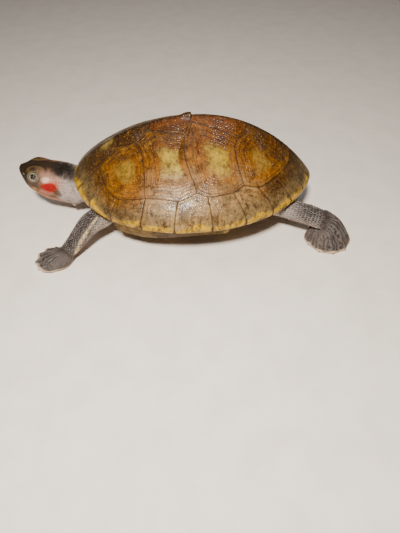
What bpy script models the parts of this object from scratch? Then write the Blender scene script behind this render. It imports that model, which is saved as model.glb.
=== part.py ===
"""Indian tent turtle, an adult female, walking with her head raised.

Life size, in metres. +Z is up, the head points along -X and her left side along -Y.
The origin is the middle of the footprint's box, on the floor that the four feet stand on.
"""
import math

import bmesh
import bpy
import numpy as np
from mathutils import Matrix, Vector

# ---------------------------------------------------------------- driving sizes
GAP = 0.0003                 # clear space between touching pieces

WIDEST_X = -0.0048           # station of the carapace's greatest width
FRONT_REACH = 0.0905         # carapace in front of that station
REAR_REACH = 0.1096          # carapace behind it; the two make a 200 mm shell
HALF_WIDTH = 0.0720
RIM_Z = 0.0425               # height of the marginal edge above the floor
FRONT_RIM_LIFT = 0.0025      # the edge rises over the neck
REAR_RIM_DROP = 0.0010       # and falls over the tail
KEEL_X = 0.0122              # highest station of the keel
KEEL_Z = 0.0952
SPINE_X = 0.0009             # knob at the back of the third vertebral
SPINE_HEIGHT = 0.0024
FLANK_FALL = 0.76            # slope of the flanks, as a share of the shell's rise
FLANK_TURN = 9.0             # how late they turn down to the edge
RIDGE_SHARE = 0.80           # length of the keel line as a share of the outline
TAPER = 0.24                 # how much more pointed the outline is behind than in front
FRONT_ARCH = 0.82            # fullness of the keel line in front of its highest station
REAR_ARCH = 0.89             # and behind it; 0.5 would be a quarter ellipse
SPINE_HALF_LENGTH = 0.0035

LIP_HEIGHT = 0.0035          # thickness of the marginal edge
LIP_WIDTH = 0.0060           # width of its underside
LIP_UNDERCUT = 0.0004        # the lower corner of the edge lies this far in
SHELL_THICKNESS = 0.0035
PLASTRON_Z = 0.0140          # clearance under the plastron
PLASTRON_THICKNESS = 0.0030
PLASTRON_INSET = 0.0008      # the bridge meets the lip just inside the marginal edge
PLASTRON_INNER_INSET = 0.0042
FLAT_SHARE = 0.70            # flat middle of the plastron, as a share of the half-width
BRIDGE_FRONT = -0.0570       # the bridge joins plastron and marginals between these stations
BRIDGE_REAR = 0.0370
NOTCH_OUTER = 0.0060         # the lobes narrow over this length beyond the bridge
NOTCH_INNER = 0.0010         # and this length within it
LOBE_SHARE = 0.62            # width of the plastral lobes in front of and behind the bridge
LOBE_TIP_SHARE = 0.72        # their width near the tips, as a share of that
LOBE_TIP_REACH = 0.60
REAR_TIP_CUT = 0.12          # the rear lobe ends sooner, behind a shallow notch
REAR_TIP_REACH = 0.25
BILGE_FULLNESS = 1.3         # how late the belly climbs to the edge at the bridge's middle
BILGE_MIDDLE = -0.0113
BILGE_FADE = 26.0            # it climbs sooner towards the rear, by this much per metre
BILGE_LIMITS = (0.30, 1.90)

AROUND = 60                  # facets round the shell
ROOF_STEPS = (0.0, 0.13, 0.30, 0.47, 0.64, 0.79, 0.90, 0.965)
VAULT_STEPS = (0.97, 0.88, 0.70, 0.40, 0.0)
BODY_ROOF_STEPS = (0.0, 0.35, 0.66, 0.88, 0.97)
BELLY_STEPS = (0.0, FLAT_SHARE, 0.80, 0.90, 1.0)
BODY_FLAT_SHARE = 0.58       # the body rises from the plastron sooner than the bridge does
BODY_STEPS = (0.0, BODY_FLAT_SHARE, 0.74, 0.88, 1.0)
BODY_INSET = 0.0012          # the body stays this far inside the lip at the bridge
BODY_END_INSET = 0.0060      # and this much further in over the neck and the tail
BODY_ROOF_GAP = 0.0008
BODY_LIFT = 0.0027           # clear height between plastron and body
BODY_SIDE_DROP = 0.0010

SNOUT_X = -0.1423
# Head and neck: distance behind the snout, top, bottom and half-width.
HEAD_STATIONS = (
    (0.0000, 0.0482, 0.0458, 0.0016),
    (0.0009, 0.0489, 0.0420, 0.0042),
    (0.0026, 0.0493, 0.0335, 0.0066),
    (0.0055, 0.0499, 0.0262, 0.0091),
    (0.0095, 0.0506, 0.0226, 0.0110),
    (0.0135, 0.0509, 0.0194, 0.0125),
    (0.0180, 0.0509, 0.0162, 0.0139),
    (0.0225, 0.0507, 0.0131, 0.0147),
    (0.0285, 0.0499, 0.0098, 0.0152),
)
NECK_STATIONS = (
    (0.0285, 0.0499, 0.0098, 0.0152),
    (0.0345, 0.0480, 0.0080, 0.0167),
    (0.0405, 0.0451, 0.0078, 0.0182),
    (0.0462, 0.0412, 0.0096, 0.0190),
    (0.0510, 0.0387, 0.0142, 0.0192),
    (0.0570, 0.0375, 0.0180, 0.0188),
)
HEAD_SIDES = 24
SECTION_MIDDLE = 0.56        # height of the widest line, as a share of the section
SIDE_ROUNDING = 0.86         # 1 would be an ellipse; less makes the section squarer
CROWN_ROUNDING = 0.80
THROAT_ROUNDING = 0.92
THROAT_NARROWING = 0.16
MOUTH_CORNER = 0.0160        # gape, measured behind the snout
JAW_START = 0.0010
MOUTH_FRONT_Z = 0.0385
MOUTH_CORNER_Z = 0.0290
MOUTH_CURVE = 0.80
COLLAR_START = 0.0400        # the body is cleared for the neck behind this station
EYE_RADIUS = 0.0041
EYE_BEHIND_SNOUT = 0.0137
EYE_Z = 0.0443
EYE_OUT = 0.0104             # centre of the eyeball, out from the middle of the head
BROW_RISE = 0.0022           # swelling of the orbit above and behind the eye
BROW_LENGTH = 0.0062
BROW_TURN = 38.0             # its place on the section, degrees up from the side
BROW_SPREAD = 26.0

# Tail, curled to her right: centre x, y, z, half-width and half-thickness.
TAIL_PATH = (
    (0.0870, 0.0000, 0.0270, 0.0062, 0.0056),
    (0.0940, 0.0030, 0.0245, 0.0052, 0.0048),
    (0.0990, 0.0085, 0.0205, 0.0038, 0.0036),
    (0.1015, 0.0150, 0.0165, 0.0024, 0.0023),
    (0.1025, 0.0210, 0.0135, 0.0009, 0.0009),
)
TAIL_SIDES = 12

# Limbs: centre x, y (outward from the middle), z, half-width and half-thickness.
# The third station is the elbow or knee, the last one the wrist or ankle.
JOINT_STATION = 2
LEFT_FORE_PATH = (
    (-0.0575, 0.0275, 0.0288, 0.0104, 0.0084),
    (-0.0700, 0.0385, 0.0268, 0.0104, 0.0086),
    (-0.0802, 0.0462, 0.0240, 0.0098, 0.0072),
    (-0.0866, 0.0518, 0.0188, 0.0090, 0.0057),
    (-0.0925, 0.0575, 0.0135, 0.0082, 0.0048),
    (-0.0980, 0.0625, 0.0095, 0.0076, 0.0040),
)
RIGHT_FORE_PATH = (
    (-0.0590, 0.0240, 0.0290, 0.0084, 0.0066),
    (-0.0700, 0.0400, 0.0290, 0.0084, 0.0062),
    (-0.0730, 0.0530, 0.0255, 0.0080, 0.0056),
    (-0.0690, 0.0605, 0.0195, 0.0076, 0.0050),
    (-0.0645, 0.0625, 0.0140, 0.0072, 0.0044),
    (-0.0600, 0.0625, 0.0095, 0.0066, 0.0038),
)
LEFT_HIND_PATH = (
    (0.0620, 0.0225, 0.0280, 0.0092, 0.0084),
    (0.0790, 0.0270, 0.0270, 0.0092, 0.0080),
    (0.0920, 0.0305, 0.0248, 0.0094, 0.0076),
    (0.1040, 0.0332, 0.0225, 0.0100, 0.0070),
    (0.1140, 0.0350, 0.0190, 0.0106, 0.0062),
)
RIGHT_HIND_PATH = (
    (0.0627, 0.0210, 0.0270, 0.0090, 0.0078),
    (0.0660, 0.0350, 0.0260, 0.0090, 0.0072),
    (0.0640, 0.0460, 0.0220, 0.0090, 0.0064),
    (0.0600, 0.0520, 0.0165, 0.0092, 0.0054),
    (0.0560, 0.0545, 0.0115, 0.0094, 0.0044),
)
LEG_SIDES = 16
LIMB_CLEARANCE = 1.5 * GAP   # round a limb's root, in the body

# Feet: middle x, y outward, heading of the middle toe (degrees from straight ahead,
# positive outward), toe reaches from the inner toe to the outer one, fan between toes,
# reach of the heel, height of the ridge over each toe, fullness of the instep.
FORE_TOES = (0.0140, 0.0165, 0.0186, 0.0188, 0.0176)
HIND_TOES = (0.0200, 0.0220, 0.0228, 0.0230, 0.0222)
LEFT_FOREFOOT = (-0.1073, 0.0635, -15.0, FORE_TOES, 27.0, 0.0128, 0.0012, 0.75)
RIGHT_FOREFOOT = (-0.0560, 0.0585, 15.0, FORE_TOES, 27.0, 0.0125, 0.0012, 0.75)
LEFT_HINDFOOT = (0.1200, 0.0350, 98.0, HIND_TOES, 31.0, 0.0150, 0.0012, 2.10)
RIGHT_HINDFOOT = (0.0520, 0.0540, 35.0, HIND_TOES, 26.0, 0.0130, 0.0012, 1.00)
FOOT_HEIGHT = 0.0020         # thickness of the web at its edge
FOOT_STEPS = (0.40, 0.72, 0.93)
RIDGE_REACH = 0.85
SOLE_EDGE = 0.75             # height at which the web's edge turns under, as a share
SOLE_INSET = 0.03
HEEL_STEPS = 9
HEEL_FADE = 0.9
WEB_SHARE = 0.90             # web between the toes, as a share of the toe length

# Claws: distance from the root as a share of the length, radius and height above the floor.
CLAW_SECTIONS = ((0.0, 0.00095, 0.00125), (0.5, 0.00075, 0.00120), (1.0, 0.00025, 0.00040))
CLAW_LENGTH = 0.0026
CLAW_SIDES = 6
CLAW_GAP = 0.0004
FORE_CLAWS = 5
HIND_CLAWS = 4


# ---------------------------------------------------------------- scene helpers
def clear_scene():
    for thing in list(bpy.data.objects):
        bpy.data.objects.remove(thing, do_unlink=True)


def collection(name):
    made = bpy.data.collections.new(name)
    bpy.context.scene.collection.children.link(made)
    return made


def material(name, colour, roughness):
    made = bpy.data.materials.new(name)
    made.use_nodes = True
    shader = made.node_tree.nodes["Principled BSDF"]
    shader.inputs["Base Color"].default_value = (*colour, 1.0)
    shader.inputs["Roughness"].default_value = roughness
    shader.inputs["Metallic"].default_value = 0.0
    return made


def object_from_rings(name, rings, surface, home, closed=True):
    """Loft a skin over rings of equal count; the first and last ring are capped."""
    work = bmesh.new()
    rows = [[work.verts.new(point) for point in ring] for ring in rings]
    count = len(rows[0])
    for near, far in zip(rows[:-1], rows[1:]):
        for k in range(count):
            after = (k + 1) % count
            work.faces.new((near[k], near[after], far[after], far[k]))
    if closed:
        work.faces.new(list(reversed(rows[0])))
        work.faces.new(rows[-1])
    bmesh.ops.remove_doubles(work, verts=work.verts, dist=0.00002)
    bmesh.ops.recalc_face_normals(work, faces=work.faces)
    if work.calc_volume(signed=True) < 0.0:
        bmesh.ops.reverse_faces(work, faces=work.faces)
    return finish_object(name, work, surface, home)


def finish_object(name, work, surface, home):
    mesh = bpy.data.meshes.new(name)
    work.to_mesh(mesh)
    work.free()
    mesh.shade_smooth()
    mesh.set_sharp_from_angle(angle=math.radians(40))
    made = bpy.data.objects.new(name, mesh)
    if surface:
        mesh.materials.append(surface)
    home.objects.link(made)
    return made


def cut_away(target, cutter):
    cut = target.modifiers.new("clear_" + cutter.name, "BOOLEAN")
    cut.operation = "DIFFERENCE"
    cut.solver = "EXACT"
    cut.object = cutter


def as_cutter(thing):
    thing.hide_render = True
    thing.display_type = "WIRE"
    return thing


def smooth_step(low, high, value):
    share = min(1.0, max(0.0, (value - low) / (high - low)))
    return share * share * (3.0 - 2.0 * share)


# ---------------------------------------------------------------- shell geometry
def outline_point(angle, inset=0.0):
    """Point of the marginal edge; angle 0 is the rear tip and pi the front."""
    c, s = math.cos(angle), math.sin(angle)
    reach = (REAR_REACH if c > 0 else FRONT_REACH) - inset
    taper = 1.0 + TAPER * smooth_step(0.0, 1.0, c)
    side = math.copysign(abs(s) ** taper, s) if abs(s) > 1e-9 else 0.0
    return Vector((WIDEST_X + reach * c, (HALF_WIDTH - inset) * side, 0.0))


def ridge_point(angle, inset=0.0):
    x = outline_point(angle, inset).x
    return Vector((WIDEST_X + RIDGE_SHARE * (x - WIDEST_X), 0.0, 0.0))


def half_width(x, inset=0.0):
    reach = (REAR_REACH if x > WIDEST_X else FRONT_REACH) - inset
    c = min(1.0, abs(x - WIDEST_X) / reach)
    taper = 1.0 + TAPER * smooth_step(0.0, 1.0, c if x > WIDEST_X else -c)
    return (HALF_WIDTH - inset) * (1.0 - c * c) ** (taper / 2.0)


def rim_height(x):
    ahead = max(0.0, (WIDEST_X - x) / FRONT_REACH)
    behind = max(0.0, (x - WIDEST_X) / REAR_REACH)
    return RIM_Z + FRONT_RIM_LIFT * ahead ** 4 - REAR_RIM_DROP * behind ** 4


def keel_height(x, inset=0.0, drop=0.0):
    """Height of the keel line; a long even arch, steeper over the neck."""
    if x < KEEL_X:
        share = (KEEL_X - x) / (KEEL_X - WIDEST_X + FRONT_REACH - inset)
        power = FRONT_ARCH
    else:
        share = (x - KEEL_X) / (WIDEST_X + REAR_REACH - inset - KEEL_X)
        power = REAR_ARCH
    rim = rim_height(x) - drop
    arch = max(0.0, 1.0 - share * share) ** power
    return rim + (KEEL_Z - drop - rim) * arch


def roof(x, y, inset=0.0, drop=0.0):
    """Tent-shaped vault: straight flanks below the keel, nearly upright at the edge."""
    wide = half_width(x, inset)
    out = min(1.0, abs(y) / wide) if wide > 1e-6 else 1.0
    fall = (1.0 - FLANK_FALL * out) * math.sqrt(1.0 - out ** FLANK_TURN)
    rim = rim_height(x) - drop
    return rim + (keel_height(x, inset, drop) - rim) * fall


def lobe_weight(angle):
    """0 along the bridge, 1 at the free lobes in front of and behind it."""
    x = outline_point(angle).x
    front = 1.0 - smooth_step(BRIDGE_FRONT - NOTCH_OUTER, BRIDGE_FRONT + NOTCH_INNER, x)
    rear = smooth_step(BRIDGE_REAR - NOTCH_INNER, BRIDGE_REAR + NOTCH_OUTER, x)
    return max(front, rear)


def lobe_limit(angle):
    """Reach of the plastron towards the marginals: full at the bridge, less at the lobes."""
    side = abs(math.sin(angle))
    widening = smooth_step(0.0, LOBE_TIP_REACH, side)
    lobe = LOBE_SHARE * (LOBE_TIP_SHARE + (1.0 - LOBE_TIP_SHARE) * widening)
    if math.cos(angle) > 0.0:
        lobe -= REAR_TIP_CUT * (1.0 - smooth_step(0.0, REAR_TIP_REACH, side))
    return 1.0 + (lobe - 1.0) * lobe_weight(angle)


def hull(angle, share, flat=FLAT_SHARE):
    """Rise of the belly from its flat middle (0) to the marginals (1)."""
    climb = max(0.0, (share - flat) / (1.0 - flat))
    power = BILGE_FULLNESS - BILGE_FADE * (outline_point(angle).x - BILGE_MIDDLE)
    return climb ** min(BILGE_LIMITS[1], max(BILGE_LIMITS[0], power))


def shell_ring_angles():
    return [2.0 * math.pi * k / AROUND for k in range(AROUND)]


def roof_row(share, inset=0.0, drop=0.0, spine=0.0):
    row = []
    for angle in shell_ring_angles():
        edge = outline_point(angle, inset)
        ridge = ridge_point(angle, inset)
        spot = ridge.lerp(edge, share)
        z = roof(spot.x, spot.y, inset, drop)
        if share == 0.0 and abs(spot.x - SPINE_X) < SPINE_HALF_LENGTH:
            z += spine
        row.append((spot.x, spot.y, z))
    return row


def level_row(inset, drop):
    row = []
    for angle in shell_ring_angles():
        edge = outline_point(angle, inset)
        row.append((edge.x, edge.y, rim_height(edge.x) - drop))
    return row


def plastron_row(share, inset, lift):
    row = []
    for angle in shell_ring_angles():
        edge = outline_point(angle, inset)
        ridge = ridge_point(angle, inset)
        reach = share * lobe_limit(angle)
        spot = ridge.lerp(edge, reach)
        flat = FLAT_SHARE + (LOBE_SHARE - FLAT_SHARE) * lobe_weight(angle)
        low = PLASTRON_Z + lift
        high = rim_height(edge.x) - LIP_HEIGHT - GAP
        row.append((spot.x, spot.y, low + (high - low) * hull(angle, reach, flat)))
    return row


def trunk_inset(angle):
    """The body fills the bridge but draws back behind the front and rear edges."""
    return LIP_WIDTH + BODY_INSET + BODY_END_INSET * math.cos(angle) ** 2


def trunk_row(share, upper):
    row = []
    for angle in shell_ring_angles():
        inset = trunk_inset(angle)
        edge = outline_point(angle, inset)
        ridge = ridge_point(angle, inset)
        spot = ridge.lerp(edge, share)
        side = rim_height(edge.x) - LIP_HEIGHT - GAP
        if upper:
            drop = SHELL_THICKNESS + BODY_ROOF_GAP
            z = max(side, roof(spot.x, spot.y, inset, drop))
        else:
            low = PLASTRON_Z + PLASTRON_THICKNESS + BODY_LIFT
            z = low + (side - BODY_SIDE_DROP - low) * hull(angle, share, BODY_FLAT_SHARE)
        row.append((spot.x, spot.y, z))
    return row


def make_carapace(surface, home):
    outer = [roof_row(t, spine=SPINE_HEIGHT) for t in ROOF_STEPS]
    edge = [level_row(0.0, 0.0), level_row(LIP_UNDERCUT, LIP_HEIGHT), level_row(LIP_WIDTH, LIP_HEIGHT)]
    inner = [roof_row(t, LIP_WIDTH, SHELL_THICKNESS) for t in VAULT_STEPS]
    return object_from_rings("carapace", outer + edge + inner, surface, home, closed=False)


def make_plastron(surface, home):
    below = [plastron_row(t, PLASTRON_INSET, 0.0) for t in BELLY_STEPS]
    inset = PLASTRON_INNER_INSET
    above = [plastron_row(t, inset, PLASTRON_THICKNESS) for t in reversed(BELLY_STEPS)]
    return object_from_rings("plastron", below + above, surface, home, closed=False)


def make_trunk(surface, home):
    above = [trunk_row(t, True) for t in BODY_ROOF_STEPS]
    below = [trunk_row(t, False) for t in reversed(BODY_STEPS)]
    return object_from_rings("trunk", above + below, surface, home, closed=False)


# ---------------------------------------------------------------- head and neck
def head_ring(station, grow=0.0):
    """Rounded section, flatter over the crown and narrower under the throat."""
    behind, top, bottom, wide = station
    middle = bottom + SECTION_MIDDLE * (top - bottom)
    ring = []
    for k in range(HEAD_SIDES):
        turn = 2.0 * math.pi * k / HEAD_SIDES
        c, s = math.cos(turn), math.sin(turn)
        y = (wide + grow) * math.copysign(abs(c) ** SIDE_ROUNDING, c)
        rise = (top - middle if s > 0 else middle - bottom) + grow
        power = CROWN_ROUNDING if s > 0 else THROAT_ROUNDING
        z = middle + rise * math.copysign(abs(s) ** power, s)
        if s < 0:
            y *= 1.0 - THROAT_NARROWING * abs(s)
        else:
            off = math.degrees(math.atan2(s, abs(c))) - BROW_TURN
            along = (behind - EYE_BEHIND_SNOUT) / BROW_LENGTH
            brow = BROW_RISE * math.exp(-along * along - (off / BROW_SPREAD) ** 2)
            y += brow * c
            z += brow * s
        ring.append((SNOUT_X + behind, y, z))
    return ring


def mouth_line(x):
    """The gape drops from a small beak to the corner of the mouth."""
    share = (x - SNOUT_X) / MOUTH_CORNER
    return MOUTH_FRONT_Z + (MOUTH_CORNER_Z - MOUTH_FRONT_Z) * share ** MOUTH_CURVE


def station_between(stations, behind):
    columns = np.array(stations).T
    return (behind,) + tuple(float(np.interp(behind, columns[0], column)) for column in columns[1:])


def make_head(surface, home):
    cut = MOUTH_CORNER
    rings = []
    front = [row for row in HEAD_STATIONS if row[0] < cut] + [station_between(HEAD_STATIONS, cut)]
    for row in front:
        floor = mouth_line(SNOUT_X + row[0]) + GAP / 2
        rings.append([(x, y, max(z, floor)) for x, y, z in head_ring(row)])
    behind = [station_between(HEAD_STATIONS, cut + GAP)]
    behind += [row for row in HEAD_STATIONS if row[0] > cut]
    rings += [head_ring(row) for row in behind]
    return object_from_rings("head", rings, surface, home)


def make_jaw(surface, home):
    rings = []
    rows = [row for row in HEAD_STATIONS if JAW_START < row[0] < MOUTH_CORNER]
    rows.append(station_between(HEAD_STATIONS, MOUTH_CORNER - GAP))
    for row in rows:
        ceiling = mouth_line(SNOUT_X + row[0]) - GAP / 2
        rings.append([(x, y, min(z, ceiling)) for x, y, z in head_ring(row)])
    return object_from_rings("jaw_lower", rings, surface, home)


def make_neck(surface, home):
    rows = list(NECK_STATIONS)
    first = station_between(NECK_STATIONS, NECK_STATIONS[0][0] + GAP)
    rings = [head_ring(row) for row in [first] + rows[1:]]
    return object_from_rings("neck", rings, surface, home)


def neck_cutter(home):
    rows = [row for row in NECK_STATIONS if row[0] > COLLAR_START]
    last = rows[-1]
    rows.append((last[0] + GAP,) + last[1:])
    rings = [head_ring(row, grow=LIMB_CLEARANCE) for row in rows]
    return as_cutter(object_from_rings("neck_clearance", rings, None, home))


def ball(name, centre, radius, surface, home, segments=14, rings=8):
    work = bmesh.new()
    turn = Matrix.Translation(centre) @ Matrix.Rotation(math.pi / 2, 4, "X")
    bmesh.ops.create_uvsphere(work, u_segments=segments, v_segments=rings, radius=radius, matrix=turn)
    return finish_object(name, work, surface, home)


def make_eyes(head, surface, home, cutters):
    for side, label in ((-1, "left"), (1, "right")):
        centre = Vector((SNOUT_X + EYE_BEHIND_SNOUT, side * EYE_OUT, EYE_Z))
        ball("eye_" + label, centre, EYE_RADIUS, surface, home)
        socket = ball("socket_" + label, centre, EYE_RADIUS + GAP, None, cutters)
        cut_away(head, as_cutter(socket))


# ---------------------------------------------------------------- limbs and tail
def frame_along(points, index):
    """Direction of a limb at one station, its sideways axis and its upper face."""
    before = points[max(0, index - 1)]
    after = points[min(len(points) - 1, index + 1)]
    along = (after - before).normalized()
    across = Vector((0.0, 0.0, 1.0)).cross(along).normalized()
    face = along.cross(across).normalized()
    return along, across, face


def limb_ring(path, side, index, slide=0.0, grow=0.0, sides=LEG_SIDES):
    points = [Vector((x, side * y, z)) for x, y, z, _, _ in path]
    along, across, face = frame_along(points, index)
    centre = points[index] + along * slide
    wide, thick = path[index][3] + grow, path[index][4] + grow
    ring = []
    for k in range(sides):
        turn = 2.0 * math.pi * k / sides
        ring.append(centre + across * (wide * math.cos(turn)) + face * (thick * math.sin(turn)))
    return ring


def make_limb(label, path, side, surface, home, cutters, trunk):
    """Upper and lower half of a limb, parted by a thin cut at the elbow or knee."""
    joint = JOINT_STATION
    upper_name, lower_name = label + "_upper", label + "_lower"
    upper = [limb_ring(path, side, k) for k in range(joint)]
    upper.append(limb_ring(path, side, joint, slide=-GAP / 2))
    object_from_rings(upper_name, upper, surface, home)
    lower = [limb_ring(path, side, joint, slide=GAP / 2)]
    lower += [limb_ring(path, side, k) for k in range(joint + 1, len(path) - 1)]
    lower.append(limb_ring(path, side, len(path) - 1, slide=-GAP))
    object_from_rings(lower_name, lower, surface, home)
    clear = [limb_ring(path, side, 0, slide=-LIMB_CLEARANCE, grow=LIMB_CLEARANCE)]
    clear += [limb_ring(path, side, k, grow=LIMB_CLEARANCE) for k in range(1, joint + 1)]
    cutter = object_from_rings(label + "_clearance", clear, None, cutters)
    cut_away(trunk, as_cutter(cutter))


def foot_directions(side, heading):
    turn = math.radians(heading)
    ahead = Vector((-math.cos(turn), side * math.sin(turn), 0.0))
    outward = Vector((math.sin(turn), side * math.cos(turn), 0.0))
    return ahead, outward


def toe_angles(count, fan):
    return [math.radians(fan) * (k - (count - 1) / 2) for k in range(count)]


def foot_angles(count, fan):
    """Angles of the outline: four steps to each toe, then round the heel."""
    step = math.radians(fan) / 4
    half = (count - 1) * 2 + 2
    fan_part = [step * k for k in range(-half, half + 1)]
    rest = 2 * math.pi - 2 * half * step
    heel_part = [half * step + rest * (k + 1) / (HEEL_STEPS + 1) for k in range(HEEL_STEPS)]
    return fan_part + heel_part


def foot_radius(angle, toes, fan, heel):
    """Webbed outline: toe tips reach past the web, and the heel is a short round."""
    marks = toe_angles(len(toes), fan)
    wrapped = (angle + math.pi) % (2 * math.pi) - math.pi
    nearest = min(range(len(toes)), key=lambda k: abs(wrapped - marks[k]))
    reach = float(np.interp(wrapped, marks, toes))
    off = abs(wrapped - marks[nearest]) / math.radians(fan)
    web = reach * (WEB_SHARE + (1 - WEB_SHARE) * math.cos(math.pi * min(0.5, off)) ** 2)
    edge = marks[-1] + 0.5 * math.radians(fan)
    fade = smooth_step(edge, edge + HEEL_FADE, abs(wrapped))
    return web + (heel - web) * fade


def make_foot(label, path, side, plan, surface, home):
    middle_x, middle_y, heading, toes, fan, heel, arch, swell = plan
    ahead, outward = foot_directions(side, heading)
    middle = Vector((middle_x, side * middle_y, 0.0))
    angles = foot_angles(len(toes), fan)
    points = [Vector((x, side * y, z)) for x, y, z, _, _ in path]
    along, across, face = frame_along(points, len(path) - 1)
    front = (ahead - along * ahead.dot(along)).normalized()
    broad = along.cross(front).normalized()
    if broad.dot(outward) < 0:
        broad.negate()
    ankle = []
    for a in angles:
        ray = front * math.cos(a) + broad * math.sin(a)
        radius = 1.0 / math.hypot(ray.dot(across) / path[-1][3], ray.dot(face) / path[-1][4])
        ankle.append(points[-1] + ray * radius)
    marks = toe_angles(len(toes), fan)
    edge = []
    ridges = []
    for a in angles:
        radius = foot_radius(a, toes, fan, heel)
        edge.append(middle + ahead * (radius * math.cos(a)) + outward * (radius * math.sin(a)))
        wrapped = (a + math.pi) % (2 * math.pi) - math.pi
        near = min(abs(wrapped - mark) for mark in marks) / math.radians(fan)
        ridges.append(math.cos(math.pi * min(0.5, near)) ** 2)
    rings = [ankle]
    for share in FOOT_STEPS:
        row = []
        for top, rim, ridge in zip(ankle, edge, ridges):
            spot = top.lerp(rim, share)
            fall = 1.0 - share ** swell
            z = FOOT_HEIGHT + (top.z - FOOT_HEIGHT) * fall
            z += ridge * arch * math.sin(math.pi * share * RIDGE_REACH)
            row.append((spot.x, spot.y, max(z, FOOT_HEIGHT)))
        rings.append(row)
    rings.append([(p.x, p.y, FOOT_HEIGHT * SOLE_EDGE) for p in edge])
    rings.append([tuple(p.lerp(middle, SOLE_INSET)) for p in edge])
    object_from_rings(label, rings, surface, home)


def make_claws(label, side, plan, count, surface, home):
    middle_x, middle_y, heading, toes, fan = plan[:5]
    ahead, outward = foot_directions(side, heading)
    middle = Vector((middle_x, side * middle_y, 0.0))
    for k, angle in enumerate(toe_angles(len(toes), fan)[:count]):
        direction = ahead * math.cos(angle) + outward * math.sin(angle)
        across = Vector((0.0, 0.0, 1.0)).cross(direction)
        base = middle + direction * (toes[k] + CLAW_GAP)
        rings = []
        for share, radius, height in CLAW_SECTIONS:
            centre = base + direction * (CLAW_LENGTH * share)
            ring = []
            for s in range(CLAW_SIDES):
                turn = 2 * math.pi * s / CLAW_SIDES
                spot = centre + across * (radius * math.cos(turn))
                ring.append((spot.x, spot.y, height + radius * math.sin(turn)))
            rings.append(ring)
        object_from_rings(f"{label}_claw_{k + 1}", rings, surface, home)


def make_tail(surface, home, cutters, trunk):
    rings = [limb_ring(TAIL_PATH, 1, k, sides=TAIL_SIDES) for k in range(len(TAIL_PATH))]
    object_from_rings("tail", rings, surface, home)
    wider = {"grow": LIMB_CLEARANCE, "sides": TAIL_SIDES}
    clear = [limb_ring(TAIL_PATH, 1, 0, slide=-LIMB_CLEARANCE, **wider)]
    clear += [limb_ring(TAIL_PATH, 1, k, **wider) for k in (1, 2)]
    cutter = object_from_rings("tail_clearance", clear, None, cutters)
    cut_away(trunk, as_cutter(cutter))


# ---------------------------------------------------------------- the animal
LIMBS = (
    ("foreleg_left", "forefoot_left", LEFT_FORE_PATH, -1, LEFT_FOREFOOT, FORE_CLAWS),
    ("foreleg_right", "forefoot_right", RIGHT_FORE_PATH, 1, RIGHT_FOREFOOT, FORE_CLAWS),
    ("hindleg_left", "hindfoot_left", LEFT_HIND_PATH, -1, LEFT_HINDFOOT, HIND_CLAWS),
    ("hindleg_right", "hindfoot_right", RIGHT_HIND_PATH, 1, RIGHT_HINDFOOT, HIND_CLAWS),
)


def make_turtle():
    clear_scene()
    home = collection("tent_turtle")
    cutters = collection("clearances")
    shell = material("carapace_scutes", (0.23, 0.11, 0.035), 0.35)
    belly = material("plastron_scutes", (0.45, 0.33, 0.13), 0.45)
    skin = material("skin", (0.22, 0.20, 0.19), 0.60)
    head_skin = material("head_skin", (0.42, 0.31, 0.25), 0.50)
    eye = material("eye", (0.03, 0.035, 0.02), 0.08)
    horn = material("claw_horn", (0.10, 0.08, 0.06), 0.40)

    make_carapace(shell, home)
    make_plastron(belly, home)
    trunk = make_trunk(skin, home)
    head = make_head(head_skin, home)
    make_jaw(head_skin, home)
    make_eyes(head, eye, home, cutters)
    make_neck(skin, home)
    cut_away(trunk, neck_cutter(cutters))
    make_tail(skin, home, cutters, trunk)
    for leg, foot, path, side, plan, claws in LIMBS:
        make_limb(leg, path, side, skin, home, cutters, trunk)
        make_foot(foot, path, side, plan, skin, home)
        make_claws(foot, side, plan, claws, horn, home)


make_turtle()
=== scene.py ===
"""Indian tent turtle: the visual model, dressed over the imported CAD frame.

Metres, +Z up, head along -X, her left side along -Y. Tables of whole numbers are in tenths
of a millimetre. Colours are linear RGB.
"""
import math

import bpy
import numpy as np
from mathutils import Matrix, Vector


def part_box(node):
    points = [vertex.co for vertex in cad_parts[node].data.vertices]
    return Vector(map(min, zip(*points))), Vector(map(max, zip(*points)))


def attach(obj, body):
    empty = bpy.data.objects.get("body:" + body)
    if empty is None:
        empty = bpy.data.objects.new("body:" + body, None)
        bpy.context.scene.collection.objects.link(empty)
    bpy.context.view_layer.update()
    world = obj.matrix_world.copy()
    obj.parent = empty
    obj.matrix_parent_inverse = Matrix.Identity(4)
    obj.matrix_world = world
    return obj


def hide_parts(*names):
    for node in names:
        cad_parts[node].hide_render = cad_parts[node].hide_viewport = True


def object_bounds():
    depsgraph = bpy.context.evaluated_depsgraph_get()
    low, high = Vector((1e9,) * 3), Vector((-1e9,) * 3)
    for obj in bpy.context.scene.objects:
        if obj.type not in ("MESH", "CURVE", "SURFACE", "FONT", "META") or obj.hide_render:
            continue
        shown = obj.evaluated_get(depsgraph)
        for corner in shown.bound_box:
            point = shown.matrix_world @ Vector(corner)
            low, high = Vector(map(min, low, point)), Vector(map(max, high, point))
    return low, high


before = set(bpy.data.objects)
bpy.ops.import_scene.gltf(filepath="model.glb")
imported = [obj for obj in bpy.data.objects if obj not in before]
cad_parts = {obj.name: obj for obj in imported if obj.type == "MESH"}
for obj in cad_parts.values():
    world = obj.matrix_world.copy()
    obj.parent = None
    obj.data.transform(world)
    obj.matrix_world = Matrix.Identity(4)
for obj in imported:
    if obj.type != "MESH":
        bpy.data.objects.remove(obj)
CAD_BOX = [list(corner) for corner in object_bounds()]
ROOT = "root"
SIDES = ((-1, "left"), (1, "right"))
CIRCLE = 2.0 * math.pi
UP = np.array([0.0, 0.0, 1.0])
rng = np.random.default_rng(7)

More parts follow.
